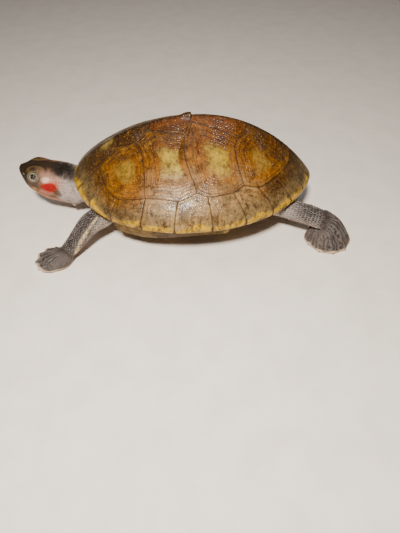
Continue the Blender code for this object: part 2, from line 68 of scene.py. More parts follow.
# ------------------------------------------------------------------ measures of the shell
SHELL_LOW, SHELL_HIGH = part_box("carapace")
BELLY_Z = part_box("plastron")[0].z
SNOUT_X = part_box("head")[0].x
FRONT_REACH, REAR_REACH = 0.0905, 0.1096
WIDEST_X = SHELL_LOW.x + FRONT_REACH
HALF_WIDTH = (SHELL_HIGH.y - SHELL_LOW.y) / 2.0
LIP, FRONT_LIFT, REAR_DROP = 0.0035, 0.0025, 0.001
RIM_Z = SHELL_LOW.z + LIP + REAR_DROP
KEEL_X, KNOB_X, KNOB_HEIGHT = 0.0122, 0.0018, 0.0022
KEEL_Z = SHELL_HIGH.z - KNOB_HEIGHT
FALL, TURN = 0.76, 9.0  # share of the height lost down the flank, sharpness of its turn at the rim
RIDGE_SHARE, TAPER, FRONT_ARCH, REAR_ARCH = 0.8, 0.24, 0.82, 0.89
BRIDGE_FRONT, BRIDGE_REAR = -0.057, 0.037
FLAT_SHARE, LOBE_SHARE = 0.7, 0.62
GAP = 0.0003  # between carapace and plastron at the bridge
FLOOR_CLEAR = 0.00002  # least height of claws and scales over the floor


# ------------------------------------------------------------------ numbers and noise
def smooth(low, high, value):
    share = np.clip((np.asarray(value, float) - low) / (high - low), 0.0, 1.0)
    return share * share * (3.0 - 2.0 * share)


def bell(value, centre, width):
    return np.exp(-(((np.asarray(value, float) - centre) / width) ** 2))


def blend(first, second, share):
    return first * (1.0 - share) + second * share


def paint(base, *coats):
    """Lays colours over the base in turn, each wherever its mask is up."""
    base = np.asarray(base)
    for colour, mask in coats:
        base = blend(base, np.array(colour), np.clip(mask, 0.0, 1.0)[..., None])
    return base


def tenths(table):
    return np.array(table) * 1e-4


def turns(count, start=0.0):
    """Evenly spaced angles once round."""
    return np.linspace(start, start + CIRCLE, count, endpoint=False)


def unit(vectors):
    return vectors / np.maximum(np.linalg.norm(vectors, axis=-1, keepdims=True), 1e-12)


def run_along(points):
    """Length run along the first axis of an array of points."""
    steps = np.linalg.norm(np.diff(points, axis=0), axis=-1)
    return np.concatenate([np.zeros((1, *steps.shape[1:])), np.cumsum(steps, axis=0)])


def lattice_noise(points, scale, seed):
    """Value noise from -1 to 1 at the given feature size."""
    p = np.asarray(points, float) / scale
    cell = np.floor(p).astype(np.int64)
    part = p - cell
    part = part * part * (3.0 - 2.0 * part)
    total = np.zeros(p.shape[:-1])
    for corner in range(8):
        shift = np.array([corner & 1, (corner >> 1) & 1, (corner >> 2) & 1])
        key = (cell + shift) * np.array([73856093, 19349663, 83492791])
        mixed = key[..., 0] ^ key[..., 1] ^ key[..., 2] ^ seed * 2654435
        value = ((mixed * 1103515245 + 12345) & 0x7FFFFFFF) / float(0x3FFFFFFF) - 1.0
        total += value * np.prod(np.where(shift, part, 1.0 - part), axis=-1)
    return total


def rough_noise(points, scale, seed):
    octaves = (0.5**k * lattice_noise(points, scale * 0.5**k, seed + k * 17) for k in range(3))
    return sum(octaves) / 1.75


def clouds(points, *kinds):
    """Rough noise of several (scale, seed)."""
    return (rough_noise(points, *kind) for kind in kinds)


def hermite(stations, where):
    """Smooth curve through rows of (station, values...), one column at a time."""
    table = np.array(stations, float)
    t, values = table[:, 0], table[:, 1:]
    slope = np.gradient(values, t, axis=0)
    steps = np.diff(values, axis=0) / np.diff(t)[:, None]
    for k in range(1, len(t) - 1):
        slope[k][steps[k - 1] * steps[k] <= 0.0] = 0.0
    slope[0], slope[-1] = steps[0], steps[-1]
    where = np.clip(where, t[0], t[-1])
    k = np.clip(np.searchsorted(t, where) - 1, 0, len(t) - 2)
    width = (t[k + 1] - t[k])[:, None]
    s = (where - t[k])[:, None] / width
    h00, h10 = 2 * s**3 - 3 * s**2 + 1, s**3 - 2 * s**2 + s
    h01, h11 = -2 * s**3 + 3 * s**2, s**3 - s**2
    bend = width * (h10 * slope[k] + h11 * slope[k + 1])
    return h00 * values[k] + h01 * values[k + 1] + bend


# ------------------------------------------------------------------ meshes
def new_object(name, points, faces, surface, slot, tones=None, **layers):
    """A piece held inside the CAD box, with a colour and other values at each point."""
    mesh = bpy.data.meshes.new(name)
    points = np.clip(points, *CAD_BOX).astype(np.float32)
    counts = np.concatenate([np.full(len(f), f.shape[1], np.int32) for f in faces])
    mesh.vertices.add(len(points))
    mesh.vertices.foreach_set("co", points.ravel())
    mesh.loops.add(int(counts.sum()))
    corners = np.concatenate([f.ravel() for f in faces]).astype(np.int32)
    mesh.loops.foreach_set("vertex_index", corners)
    mesh.polygons.add(len(counts))
    mesh.polygons.foreach_set("loop_start", (np.cumsum(counts) - counts).astype(np.int32))
    mesh.update(calc_edges=True)
    mesh.validate()
    mesh.shade_smooth()
    for label, values in layers.items():
        layer = mesh.attributes.new(label, "FLOAT", "POINT")
        layer.data.foreach_set("value", np.asarray(values, np.float32))
    if tones is not None:
        layer = mesh.attributes.new("tone", "FLOAT_COLOR", "POINT")
        rgba = np.column_stack([tones, np.ones(len(points))])
        layer.data.foreach_set("color", rgba.astype(np.float32).ravel())
    made = bpy.data.objects.new(name, mesh)
    bpy.context.scene.collection.objects.link(made)
    mesh.materials.append(surface)
    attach(made, ROOT)
    return made


def grid_faces(rows, columns, wrap):
    """Quads of a rows x columns grid of points; wrap closes each row on itself."""
    r, c = np.meshgrid(np.arange(rows - 1), np.arange(columns - (not wrap)), indexing="ij")
    here, after = r * columns + c, r * columns + (c + 1) % columns
    return np.stack([here, after, after + columns, here + columns], -1).reshape(-1, 4)


def fan(hub, ring):
    """Triangles from one point to a closed ring of points."""
    return np.stack([np.full(len(ring), hub), ring, np.roll(ring, -1)], -1)


def outward(points, faces):
    """Turns the faces of a closed mesh over if they look inwards."""
    p, volume = points - points.mean(0), 0.0
    for f in faces:
        for k in range(1, f.shape[1] - 1):
            volume += np.sum(p[f[:, 0]] * np.cross(p[f[:, k]], p[f[:, k + 1]]))
    return faces if volume > 0.0 else [f[:, ::-1] for f in faces]


def tube(sheet):
    """Points and faces of a grid of closed rings, with a fan over each end."""
    rows, columns = sheet.shape[:2]
    points = np.concatenate([sheet.reshape(-1, 3), sheet[[0, -1]].mean(1)])
    hub, ring = rows * columns, np.arange(columns)
    ends = [fan(hub, ring[::-1]), fan(hub + 1, ring + hub - columns)]
    return points, outward(points, [grid_faces(rows, columns, True)] + ends)


def grid_normals(points, wrap):
    """Unit normals of a grid of points; those of closed rings look outwards."""
    if not wrap:
        return unit(np.cross(np.gradient(points, axis=1), np.gradient(points, axis=0)))
    across = np.roll(points, -1, 1) - np.roll(points, 1, 1)
    normal = unit(np.cross(across, np.gradient(points, axis=0)))
    return normal * np.sign(np.sum(normal * (points - points.mean(1, keepdims=True))))


# ------------------------------------------------------------------ node materials
class Nodes:
    """Short calls for building a material's node tree."""

    def __init__(self, name):
        self.material = bpy.data.materials.new(name)
        self.material.use_nodes = True
        self.tree = self.material.node_tree

    def put(self, socket, value):
        """Links a socket, or sets its number or colour."""
        if isinstance(value, bpy.types.NodeSocket):
            self.tree.links.new(value, socket)
        elif value is not None:
            socket.default_value = (*value, 1.0) if socket.type == "RGBA" else value

    def add(self, kind, output, inputs, **settings):
        node = self.tree.nodes.new(kind)
        for key, value in settings.items():
            setattr(node, key, value)
        for key, value in inputs.items():
            self.put(node.inputs[key], value)
        return node.outputs[output]

    def attribute(self, name, output="Fac"):
        return self.add("ShaderNodeAttribute", output, {}, attribute_name=name)

    def place(self, stretch=None):
        where = self.add("ShaderNodeTexCoord", "Object", {})
        if stretch is None:
            return where
        return self.add("ShaderNodeMapping", "Vector", {"Vector": where, "Scale": stretch})

    def noise(self, scale, detail=4.0, rough=0.55, stretch=None):
        inputs = {"Scale": scale, "Detail": detail, "Roughness": rough}
        return self.add("ShaderNodeTexNoise", "Fac", inputs | {"Vector": self.place(stretch)})

    def cells(self, scale):
        inputs = {"Scale": scale, "Vector": self.place()}
        return self.add("ShaderNodeTexVoronoi", "Distance", inputs)

    def math(self, operation, first, second=None, clamp=False):
        inputs = {0: first, 1: second}
        return self.add("ShaderNodeMath", 0, inputs, operation=operation, use_clamp=clamp)

    def times(self, first, second, clamp=False):
        return self.math("MULTIPLY", first, second, clamp)

    def range(self, value, low, high, top=1.0, foot=0.0):
        """Eases from the foot to the top as the value goes from low to high."""
        names = ("Value", "From Min", "From Max", "To Min", "To Max")
        inputs = dict(zip(names, (value, low, high, foot, top)))
        return self.add("ShaderNodeMapRange", "Result", inputs, interpolation_type="SMOOTHSTEP")

    def blend(self, how, colour, *coats):
        """Lays coats of (share, colour) over a colour in turn."""
        for share, over in coats:
            inputs = {0: share, 6: colour, 7: over}
            colour = self.add("ShaderNodeMix", 2, inputs, data_type="RGBA", blend_type=how)
        return colour

    def vivid(self, colour, saturation, value):
        inputs = {"Saturation": saturation, "Value": value, "Color": colour}
        return self.add("ShaderNodeHueSaturation", "Color", inputs)

    def bump(self, height, distance, strength, normal=None):
        inputs = {"Strength": strength, "Distance": distance, "Height": height, "Normal": normal}
        return self.add("ShaderNodeBump", "Normal", inputs)

    def finish(self, colour, roughness, normal, **fixed):
        shader = self.tree.nodes["Principled BSDF"]
        fixed |= {"Base_Color": colour, "Roughness": roughness}
        fixed |= {"Normal": normal, "Coat_Normal": normal}
        for key, value in fixed.items():
            self.put(shader.inputs[key.replace("_", " ")], value)
        return self.material


def scute_material(name, gloss, coat, pale):
    """Horn with concentric growth lines, fine scratches and painted shade where the edges round
    into the seams.
    """
    n = Nodes(name)
    ring, seam = n.attribute("ring"), n.attribute("seam")
    phase = n.math("ADD", ring, n.times(n.noise(120.0, 4.0, 0.6), 2.6))
    wave = n.math("SINE", n.times(phase, 2.0 * math.pi))
    fine = n.math("SINE", n.times(phase, 5.0 * math.pi))
    inside = n.times(n.range(ring, 0.0, 0.8), n.range(n.noise(75.0, 3.0), 0.4, 0.62))
    lines = n.times(n.range(wave, 0.35, 1.0), inside)
    hairs = n.times(n.range(fine, 0.3, 1.0), inside)
    blotch = n.noise(150.0, 6.0, 0.7)
    mottle = n.noise(430.0, 4.0, 0.65)
    streak = n.noise(620.0, 4.0, 0.6, (1.0, 0.16, 0.22))
    fleck = n.noise(950.0, 3.0, 0.7)
    colour = n.blend(
        "MIX",
        n.attribute("tone", "Color"),
        (n.range(blotch, 0.46, 0.66, 0.66), (0.048, 0.019, 0.005)),
        (n.range(blotch, 0.48, 0.26, 0.3 * pale), (0.5, 0.23, 0.045)),
        (n.range(mottle, 0.49, 0.66, 0.55), (0.052, 0.027, 0.01)),
        (n.range(fleck, 0.56, 0.72, 0.42 * pale), (0.62, 0.46, 0.22)),
    )
    colour = n.blend(
        "MULTIPLY",
        colour,
        (n.range(fleck, 0.46, 0.32, 0.5), (0.3, 0.2, 0.12)),
        (n.times(lines, 0.62), (0.26, 0.14, 0.08)),
        (n.times(hairs, 0.3), (0.4, 0.22, 0.1)),
        (n.range(streak, 0.5, 0.7, 0.55), (0.42, 0.3, 0.2)),
        # Painted shade: darker within 0.7 mm of a seam, where the edge rounds down into the
        # groove.
        (n.range(seam, 0.0007, 0.0, 0.55), (0.22, 0.13, 0.08)),
    )
    height = n.times(n.math("ADD", n.times(wave, 0.6), n.times(fine, 0.3)), inside)
    height = n.math("ADD", height, n.times(streak, 2.0))
    normal = n.bump(n.noise(1300.0, 3.0), 0.00003, 0.5, n.bump(height, 0.00014, 0.9))
    rough = n.range(n.noise(60.0, 4.0), 0.25, 0.75, gloss + 0.2, gloss)
    return n.finish(n.vivid(colour, 1.07, 0.84), rough, normal, Coat_Weight=coat,
                    Coat_Roughness=0.1, Specular_IOR_Level=0.08 + 0.14 * pale)


def plain_material(name, colour, rough, dark=0.5, scale=300.0, depth=0.0001):
    n = Nodes(name)
    grain = n.noise(scale, 5.0)
    shown = n.blend("MIX", colour, (n.range(grain, 0.35, 0.7), tuple(c * dark for c in colour)))
    return n.finish(shown, n.range(grain, 0.3, 0.8, rough + 0.2, rough), n.bump(grain, depth, 0.8))


def skin_material(name, rough, cell, depth):
    """Skin with fine granular scales, painted shade in its creases, and a slight moist sheen."""
    n = Nodes(name)
    grain, small = n.cells(cell), n.cells(cell * 2.3)
    cloud, speck = n.noise(170.0, 4.0), n.noise(900.0, 3.0)
    colour = n.blend(
        "MULTIPLY",
        n.attribute("tone", "Color"),
        (n.range(grain, 0.3, 0.75, 0.3), (0.34, 0.28, 0.25)),
        (n.range(cloud, 0.42, 0.75, 0.26), (0.42, 0.36, 0.33)),
        (n.range(speck, 0.56, 0.74, 0.4), (1.6, 1.5, 1.4)),
        # Painted shade in the creases: wrinkle grooves, folds, the mouth, nostrils and eyelid
        # grooves.
        (n.times(n.attribute("crease"), 0.66, True), (0.24, 0.18, 0.15)),
    )
    height = n.math("ADD", n.times(grain, -1.0), n.times(small, -0.5))
    normal = n.bump(n.noise(1400.0, 3.0), depth * 0.35, 0.6, n.bump(height, depth, 0.8))
    shine = n.range(cloud, 0.3, 0.7, rough + 0.18, rough)
    return n.finish(n.vivid(colour, 1.18, 0.92), shine, normal, Specular_IOR_Level=0.28,
                    Subsurface_Weight=0.05, Subsurface_Scale=0.0012)


def eye_material():
    n = Nodes("eye_iris")
    fleck = n.noise(2600.0, 3.0)
    share = n.range(fleck, 0.45, 0.7, 0.45)
    colour = n.blend("MULTIPLY", n.attribute("tone", "Color"), (share, (0.45, 0.38, 0.28)))
    rough = n.range(fleck, 0.3, 0.7, 0.34, 0.22)
    return n.finish(colour, rough, n.bump(fleck, 0.00002, 0.5), Coat_Weight=0.4)


def cornea_material():
    n = Nodes("cornea")
    film = n.noise(700.0, 2.0)
    colour = n.blend("MIX", (0.96, 0.97, 0.95), (film, (1.0, 1.0, 1.0)))
    rough = n.range(film, 0.2, 0.8, 0.05, 0.015)
    return n.finish(colour, rough, n.bump(film, 0.000004, 0.3), Transmission_Weight=1.0, IOR=1.33)


SCUTE = scute_material("carapace_horn", 0.32, 0.13, 1.0)
BELLY_SCUTE = scute_material("plastron_horn", 0.55, 0.02, 0.15)
SEAM = plain_material("seam_dark", (0.05, 0.024, 0.01), 0.8)
BELLY_SEAM = plain_material("belly_seam", (0.12, 0.08, 0.05), 0.62)
SKIN = skin_material("skin_fine", 0.5, 1300.0, 0.0001)
SCALE_SKIN = skin_material("scale_horn", 0.42, 2200.0, 0.00004)
EYE, CORNEA = eye_material(), cornea_material()
HORN = plain_material("claw_horn", (0.115, 0.088, 0.062), 0.36, 0.45, 900.0, 0.00004)


# ------------------------------------------------------------------ form of the shell
def half_width(x):
    behind = x > WIDEST_X
    share = np.minimum(1.0, np.abs(x - WIDEST_X) / np.where(behind, REAR_REACH, FRONT_REACH))
    taper = 1.0 + TAPER * np.where(behind, smooth(0.0, 1.0, share), 0.0)
    return HALF_WIDTH * np.maximum(1e-9, 1.0 - share * share) ** (taper / 2.0)


def rim_height(x):
    ahead = np.maximum(0.0, (WIDEST_X - x) / FRONT_REACH)
    behind = np.maximum(0.0, (x - WIDEST_X) / REAR_REACH)
    return RIM_Z + FRONT_LIFT * ahead**4 - REAR_DROP * behind**4


def keel_height(x):
    front = (KEEL_X - x) / (KEEL_X - WIDEST_X + FRONT_REACH)
    rear = (x - KEEL_X) / (WIDEST_X + REAR_REACH - KEEL_X)
    share = np.where(x < KEEL_X, front, rear)
    power = np.where(x < KEEL_X, FRONT_ARCH, REAR_ARCH)
    return rim_height(x) + (KEEL_Z - rim_height(x)) * np.maximum(0.0, 1.0 - share * share) ** power


def flank(out):
    """How the roof falls from the keel (0) to the rim (1): straight, then turned down late."""
    return (1.0 - FALL * out) * np.sqrt(np.maximum(0.0, 1.0 - out**TURN))


def roof(x, y):
    """Height of the carapace."""
    out = np.minimum(1.0, np.abs(y) / half_width(x))
    return rim_height(x) + (keel_height(x) - rim_height(x)) * flank(out)


def roof_normals(x, y):
    step, steepest = 0.0002, 6.0
    side = np.maximum(np.abs(y), step * 1.5)
    dx = (roof(x + step, side) - roof(x - step, side)) / (2.0 * step)
    dy = (roof(x, side + step) - roof(x, side - step)) / (2.0 * step)
    dx, dy = np.clip(dx, -steepest, steepest), np.clip(dy, -steepest, steepest)
    dy = dy * np.sign(y) * smooth(0.0, 0.0008, np.abs(y))
    return unit(np.stack([-dx, -dy, np.ones_like(dx)], -1))


def outline(angle, inset=0.0):
    """Edge of the shell in plan: angle 0 is the tail, pi the head."""
    c, s = np.cos(angle), np.sin(angle)
    reach = np.where(c > 0.0, REAR_REACH, FRONT_REACH) - inset
    taper = 1.0 + TAPER * smooth(0.0, 1.0, c)
    return WIDEST_X + reach * c, (HALF_WIDTH - inset) * np.sign(s) * np.abs(s) ** taper


def rim_angle(x):
    reach = REAR_REACH if x > WIDEST_X else FRONT_REACH
    return math.acos(max(-1.0, min(1.0, (x - WIDEST_X) / reach)))


def hull(angle, share, flat):
    """How the underside climbs to the rim (1), more steeply towards the rear."""
    climb = np.maximum(0.0, (share - flat) / (1.0 - flat))
    return climb ** np.clip(1.3 - 26.0 * (outline(angle)[0] + 0.0113), 0.3, 1.9)


def ridge_point(angle, share, inset):
    """Plan of a point between the keel line (0) and the edge (1), with the edge's x."""
    ex, ey = outline(angle, inset)
    rx = WIDEST_X + RIDGE_SHARE * (ex - WIDEST_X)
    return rx + (ex - rx) * share, ey * share, ex


# ------------------------------------------------------------------ seams between the scutes
SEAM_GAP = 0.00011
SEAM_STEP = 0.0008
EDGE_DROP, EDGE_WIDTH = 0.00016, 0.0006
SEAM_DEPTH = 0.00048  # of the bone under the horn
RING_RELIEF, MARGIN_RELIEF, AREOLA_DROP = 0.00009, 0.00006, 0.00012
PLATE_DEPTH = 0.001

# Seams as (x, distance from the keel), from the keel outwards or head to tail.
SEAMS = {
    "nuchal_v1": [(-820, 0), (-822, 55)],
    "m1_v1": [(-822, 55), (-765, 130), (-700, 190)],
    "v1_v2": [(-543, 0), (-536, 50), (-548, 100)],
    "v2_v3": [(-286, 0), (-284, 30), (-288, 62)],
    "v3_v4": [(50, 0), (44, 20), (30, 45)],
    "v4_v5": [(460, 0), (458, 30), (451, 60)],
    "v5_m12": [(830, 0), (826, 75)],
    "v1_side": [(-700, 190), (-625, 150), (-548, 100)],
    "v2_front": [(-548, 100), (-480, 118), (-400, 122)],
    "v2_rear": [(-400, 122), (-345, 98), (-288, 62)],
    "v3_front": [(-288, 62), (-196, 91), (-110, 122), (-8, 140)],
    "v3_rear": [(-8, 140), (14, 85), (30, 45)],
    "v4_front": [(30, 45), (130, 71), (260, 107), (394, 138)],
    "v4_rear": [(394, 138), (425, 105), (451, 60)],
    "v5_side": [(451, 60), (540, 95), (660, 160), (790, 180)],
    "m11_v5": [(826, 75), (812, 130), (790, 180)],
    "c1_c2": [(-400, 122), (-352, 190), (-318, 316), (-297, 553)],
    "c2_c3": [(-8, 140), (-12, 195), (-1, 308), (30, 400), (87, 541)],
    "c3_c4": [(394, 138), (370, 202), (381, 280), (408, 378), (436, 455)],
    "margin_1": [(-700, 190), (-672, 235), (-640, 330), (-602, 424)],
    "margin_2": [(-602, 424), (-520, 505), (-400, 540), (-297, 553)],
    "margin_3": [(-297, 553), (-160, 575), (-53, 590), (20, 572), (87, 541)],
    "margin_4": [(87, 541), (165, 562), (260, 545), (355, 515), (436, 455)],
    "margin_5": [(436, 455), (545, 436), (620, 380), (685, 318), (790, 180)],
}
# Where each seam between two marginals meets the rim (x) and the scutes above (x, distance).
MARGIN_SEAMS = tenths([
    (-950, -822, 55), (-882, -700, 190), (-760, -640, 330), (-575, -520, 505), (-336, -297, 553),
    (-82, -53, 590), (203, 165, 562), (459, 355, 515), (676, 545, 436), (833, 685, 318),
    (952, 790, 180), (1032, 826, 75),
])


def seam_line(name, side):
    """A seam on one side with a grown edge's slight wander; a leading dash walks it backwards."""
    stations = tenths(SEAMS[name.lstrip("-")])
    run = run_along(stations)
    where = np.linspace(0.0, run[-1], max(5, int(run[-1] / SEAM_STEP) + 1))
    line = hermite(np.column_stack([run, stations]), where)
    wander = rough_noise(np.column_stack([line, 0.0 * where]), 0.005, 3)
    push = 0.0003 * wander * np.sin(np.pi * where / run[-1])
    line = (line + push[:, None] * [1.0, 0.6]) * [1.0, side]
    return line[::-1] if name[0] == "-" else line


def chain(names, side):
    """Seams joined end to end."""
    lines = [seam_line(name, side) for name in names]
    return np.concatenate([lines[0]] + [line[1:] for line in lines[1:]])


def inset_loop(loop, gap):
    """Draws a closed loop inwards by the gap, with its corners eased."""
    area = np.sum(loop[:, 0] * np.roll(loop[:, 1], -1) - np.roll(loop[:, 0], -1) * loop[:, 1])
    if area < 0.0:
        loop = loop[::-1]
    for _ in range(2):
        loop = 0.25 * np.roll(loop, 1, 0) + 0.5 * loop + 0.25 * np.roll(loop, -1, 0)
    along = unit(np.roll(loop, -1, 0) - np.roll(loop, 1, 0))
    return loop + np.stack([-along[:, 1], along[:, 0]], -1) * gap


EDGE_RINGS = np.array([0.0011, 0.0008, 0.00055, 0.00035, 0.00018, 0.00006, 0.0])


def edge_drop(seam):
    """The rounding of a scute's edge into the groove, by distance from the seam."""
    return -EDGE_DROP * (1.0 - np.minimum(1.0, seam / EDGE_WIDTH)) ** 2


def plate(name, loop, centre, core, rings, tone, rise):
    """A scute: growth rings spread from its core to the seams, edges rounded into the groove.

    The mesh is polar about the core, so that every ring follows the outline."""
    border = inset_loop(loop, SEAM_GAP)
    count = len(border)
    reach = np.linalg.norm(border - centre, axis=1)
    stops = np.linspace(1.0, 1.0 / core, max(14, rings * 4))
    inner = np.concatenate(([0.12, 0.4, 0.75], stops)) * core
    share = np.concatenate([
        np.zeros((1, count)),
        inner[:, None] * (1.0 - EDGE_RINGS[0] / reach),
        1.0 - EDGE_RINGS[1:, None] / reach,
    ])
    flat = centre + (border - centre) * share[..., None]
    x, y = flat[..., 0], flat[..., 1]
    seam = (1.0 - share) * reach
    phase = rings * np.maximum(0.0, share - core) / (1.0 - core)
    normal = roof_normals(x, y)
    base = np.stack([x, y, roof(x, y)], -1)
    steps = np.sin(CIRCLE * (phase + 0.8 * rough_noise(base, 0.006, 11))) * smooth(0.0, 0.7, phase)
    lift = edge_drop(seam) + RING_RELIEF * steps * smooth(0.0, 0.0012, seam)
    lift = lift - AREOLA_DROP * (1.0 - smooth(0.0, 0.5, phase)) + rise(x, y, share)
    top = base + normal * lift[..., None]
    skirt = base[-1] - normal[-1] * PLATE_DEPTH
    hub = skirt.mean(0) - normal[0, 0] * PLATE_DEPTH * 0.3
    points = np.concatenate([top[0, :1], top[1:].reshape(-1, 3), skirt, hub[None]])
    ring, last = np.arange(count), len(points) - 1
    quads = grid_faces(len(share), count, True)[:, ::-1] + 1
    faces = outward(points, [fan(0, ring + 1), quads, fan(last, (ring + last - count)[::-1])])

    def spread(values, skirt_value):
        width = values.shape[2:]
        under = np.full((count + 1, *width), skirt_value)
        return np.concatenate([values[0, :1], values[1:].reshape(-1, *width), under])

    tones = spread(tone(base, share, phase, seam), (0.03, 0.015, 0.008))
    return new_object(name, points, faces, SCUTE, "carapace_scutes", tones,
                      ring=spread(phase, rings), seam=spread(seam, 0.0))


# ------------------------------------------------------------------ colours of the shell
UMBER = (0.07, 0.028, 0.008)
ORANGE = (0.25, 0.095, 0.014)
TAN = (0.4, 0.27, 0.13)
CREAM = (0.56, 0.41, 0.26)
OLIVE = (0.28, 0.175, 0.03)
RUST = (0.14, 0.034, 0.004)
BLACK = (0.012, 0.006, 0.003)
SMOKE = (0.034, 0.02, 0.008)
YELLOW = (0.68, 0.4, 0.045)
STRAW = (0.42, 0.28, 0.09)
HIGH = (0.038, 0.015, 0.004)


def shell_ground(place):
    """Horn colour by place: pale low on the middle flanks, dark at both ends and up the keel."""
    x, y = place[..., 0], np.abs(place[..., 1])
    out = y / half_width(x)
    cloud, fine = clouds(place, (0.016, 5), (0.0045, 9))
    low = smooth(0.44, 0.72, out + 0.1 * cloud)
    middle = smooth(-0.04, -0.008, x) * (1.0 - smooth(0.046, 0.07, x))
    upper = 1.0 - smooth(0.2, 0.5, out + 0.08 * cloud)
    saddle = upper * bell(x, -0.012, 0.012) * smooth(0.12, 0.22, out)
    front = 1.0 - smooth(-0.066, -0.036, x + 0.01 * cloud)
    rear = smooth(0.05, 0.074, x + 0.01 * cloud)
    return paint(
        ORANGE,
        (TAN, 0.65 * low * middle),
        (CREAM, 0.85 * low * bell(x, -0.01, 0.016)),
        (HIGH, 0.96 * upper),
        (RUST, 0.75 * upper * bell(x, 0.02, 0.02)),
        ((0.19, 0.1, 0.05), 0.5 * saddle),
        (UMBER, 0.55 * smooth(0.0, 0.5, cloud) * (1.0 - 0.5 * low * middle)),
        ((0.09, 0.048, 0.014), 0.62 * front),
        ((0.06, 0.028, 0.01), 0.7 * rear),
        (SMOKE, 0.8 * smooth(0.068, 0.094, x + 0.3 * (0.03 - y))),
        (SMOKE, 0.75 * (1.0 - smooth(-0.088, -0.062, x + 0.12 * y))),
        ((0.045, 0.022, 0.008), 0.45 * smooth(0.05, 0.5, fine)),
    )


def scute_tone(core_colour, core, ridge=None):
    """Tone of one scute: a paler core, orange-brown growth bands round it.

    ridge, on the vertebrals, is the colour and strength along the keel and of its dark marks."""

    def tone(place, share, phase, seam):
        x, y = place[..., 0], place[..., 1]
        out = np.abs(y) / half_width(x)
        wander, small = clouds(place, (0.006, 21), (0.0022, 23))
        band = 0.5 + 0.5 * np.sin(CIRCLE * (phase * 0.45 + 0.5 * wander))
        halo = bell(phase + 0.9 * wander, 1.9, 1.1)
        spread = share / core + 0.26 * wander + 0.22 * small
        areola = 1.0 - smooth(0.3, 1.4, spread)
        colour = paint(
            shell_ground(place),
            (UMBER, 0.42 * band * smooth(0.3, 1.6, phase)),
            ((0.33, 0.13, 0.022), 0.34 * (1.0 - band) * smooth(0.2, 1.2, phase)),
            (RUST, 0.42 * halo * smooth(0.9, 0.6, out)),
            ((0.32, 0.12, 0.02), 0.55 * bell(spread, 1.45, 0.22) * smooth(0.34, 0.5, out)),
            (core_colour, (0.75 if ridge else 0.85) * areola),
            (UMBER, 0.45 * areola * smooth(0.05, 0.5, small + 0.5 * wander)),
        )
        if ridge:
            crown, strength, line, mark = ridge
            keel = 1.0 - smooth(0.001, 0.0026, np.abs(y) + 0.0007 * wander)
            colour = paint(
                colour,
                (BLACK, 0.6 * smooth(0.008, -0.022, x) * (1.0 - areola)),
                (crown, strength * (1.0 - smooth(0.06, 0.2, out + 0.03 * wander))),
                (BLACK, 0.95 * mark * bell(x, 0.005, 0.0075) * bell(y, 0.0, 0.0062)),
                (BLACK, 0.9 * keel * line * smooth(-0.9, -0.2, wander)),
            )
        # Painted shade: umber over the last 0.8 mm before each seam groove.
        return paint(colour, (UMBER, 0.3 * smooth(0.0008, 0.0001, seam)))

    return tone


def crest(x, y, share):
    return -0.0003 * bell(y, 0.0, 0.0007)


def knob(x, y, share):
    """The keel's blunt crest, and the spine at the back of the third vertebral."""
    rise = smooth(-0.015, KNOB_X, x) ** 2.2 * (1.0 - smooth(0.0036, 0.005, x))
    spine = 0.0023 * rise * bell(y, 0.0, 0.0026) * smooth(0.0, 0.0016, 0.0052 - x)
    return crest(x, y, share) + spine


def swell(x, y, share):
    return 0.00035 * (1.0 - np.minimum(1.0, share) ** 2) ** 2


# Seams round each scute, centre of its core, the core's share, rings, core colour, ridge.
VERTEBRALS = (
    ("nuchal_v1 m1_v1 v1_side -v1_v2", -615, 0.46, 6, (0.62, 0.45, 0.14), (SMOKE, 0.4, 0.9, 0)),
    ("v1_v2 v2_front v2_rear -v2_v3", -385, 0.3, 5, UMBER, (HIGH, 0.6, 1.0, 0)),
    ("v2_v3 v3_front v3_rear -v3_v4", -50, 0.24, 6, RUST, (RUST, 0.6, 0.8, 1)),
    ("v3_v4 v4_front v4_rear -v4_v5", 370, 0.22, 8, (0.2, 0.085, 0.02), (RUST, 0.6, 0.7, 0)),
    ("v4_v5 v5_side -m11_v5 -v5_m12", 560, 0.22, 6, (0.14, 0.08, 0.022), (SMOKE, 0.4, 1.0, 0)),
)
COSTALS = (
    ("v1_side v2_front c1_c2 -margin_2 -margin_1", (-440, 335), 0.44, 8, OLIVE),
    ("v2_rear v3_front c2_c3 -margin_3 -c1_c2", (-85, 335), 0.41, 8, (0.53, 0.385, 0.07)),
    ("v3_rear v4_front c3_c4 -margin_4 -c2_c3", (275, 320), 0.43, 8, (0.45, 0.305, 0.048)),
    ("v4_rear v5_side -margin_5 -c3_c4", (590, 245), 0.46, 7, (0.27, 0.16, 0.036)),
)


def scutes_of_the_back():
    """The vertebrals astride the keel and the costals on both flanks."""
    for k, (names, x, core, rings, colour, ridge) in enumerate(VERTEBRALS):
        half = chain(names.split(), -1)
        loop = np.concatenate([half, half[-2:0:-1] * [1.0, -1.0]])
        plate(f"scute_vertebral_{k + 1}", loop, tenths((x, 0)), core, rings,
              scute_tone(colour, core, ridge), knob if k == 2 else crest)
    for side, label in SIDES:
        for k, (names, (x, y), core, rings, colour) in enumerate(COSTALS):
            plate(f"scute_costal_{k + 1}_{label}", chain(names.split(), side)[:-1],
                  tenths((x, side * y)), core, rings, scute_tone(colour, core), swell)


# ------------------------------------------------------------------ marginals and plastron
INNER_SEAMS = "nuchal_v1 m1_v1 margin_1 margin_2 margin_3 margin_4 margin_5 -m11_v5 -v5_m12"
INNER = chain(INNER_SEAMS.split(), 1)
INNER_RUN = run_along(INNER)
INNER_MARKS = [INNER_RUN[np.argmin(np.linalg.norm(INNER - at[1:], axis=1))] for at in MARGIN_SEAMS]
# The rim's turn under, as (distance inwards, depth below the rim).
RIM_PROFILE = (
    (0.0001, 0.0006), (0.00012, 0.0014), (0.0002, 0.0024), (0.00055, 0.0031),
    (0.0013, 0.0034), (0.003, 0.0035), (0.0056, 0.0034),
)
EDGE_STOPS = np.array([0.0, 0.00006, 0.00018, 0.0004, 0.0007, 0.0011])


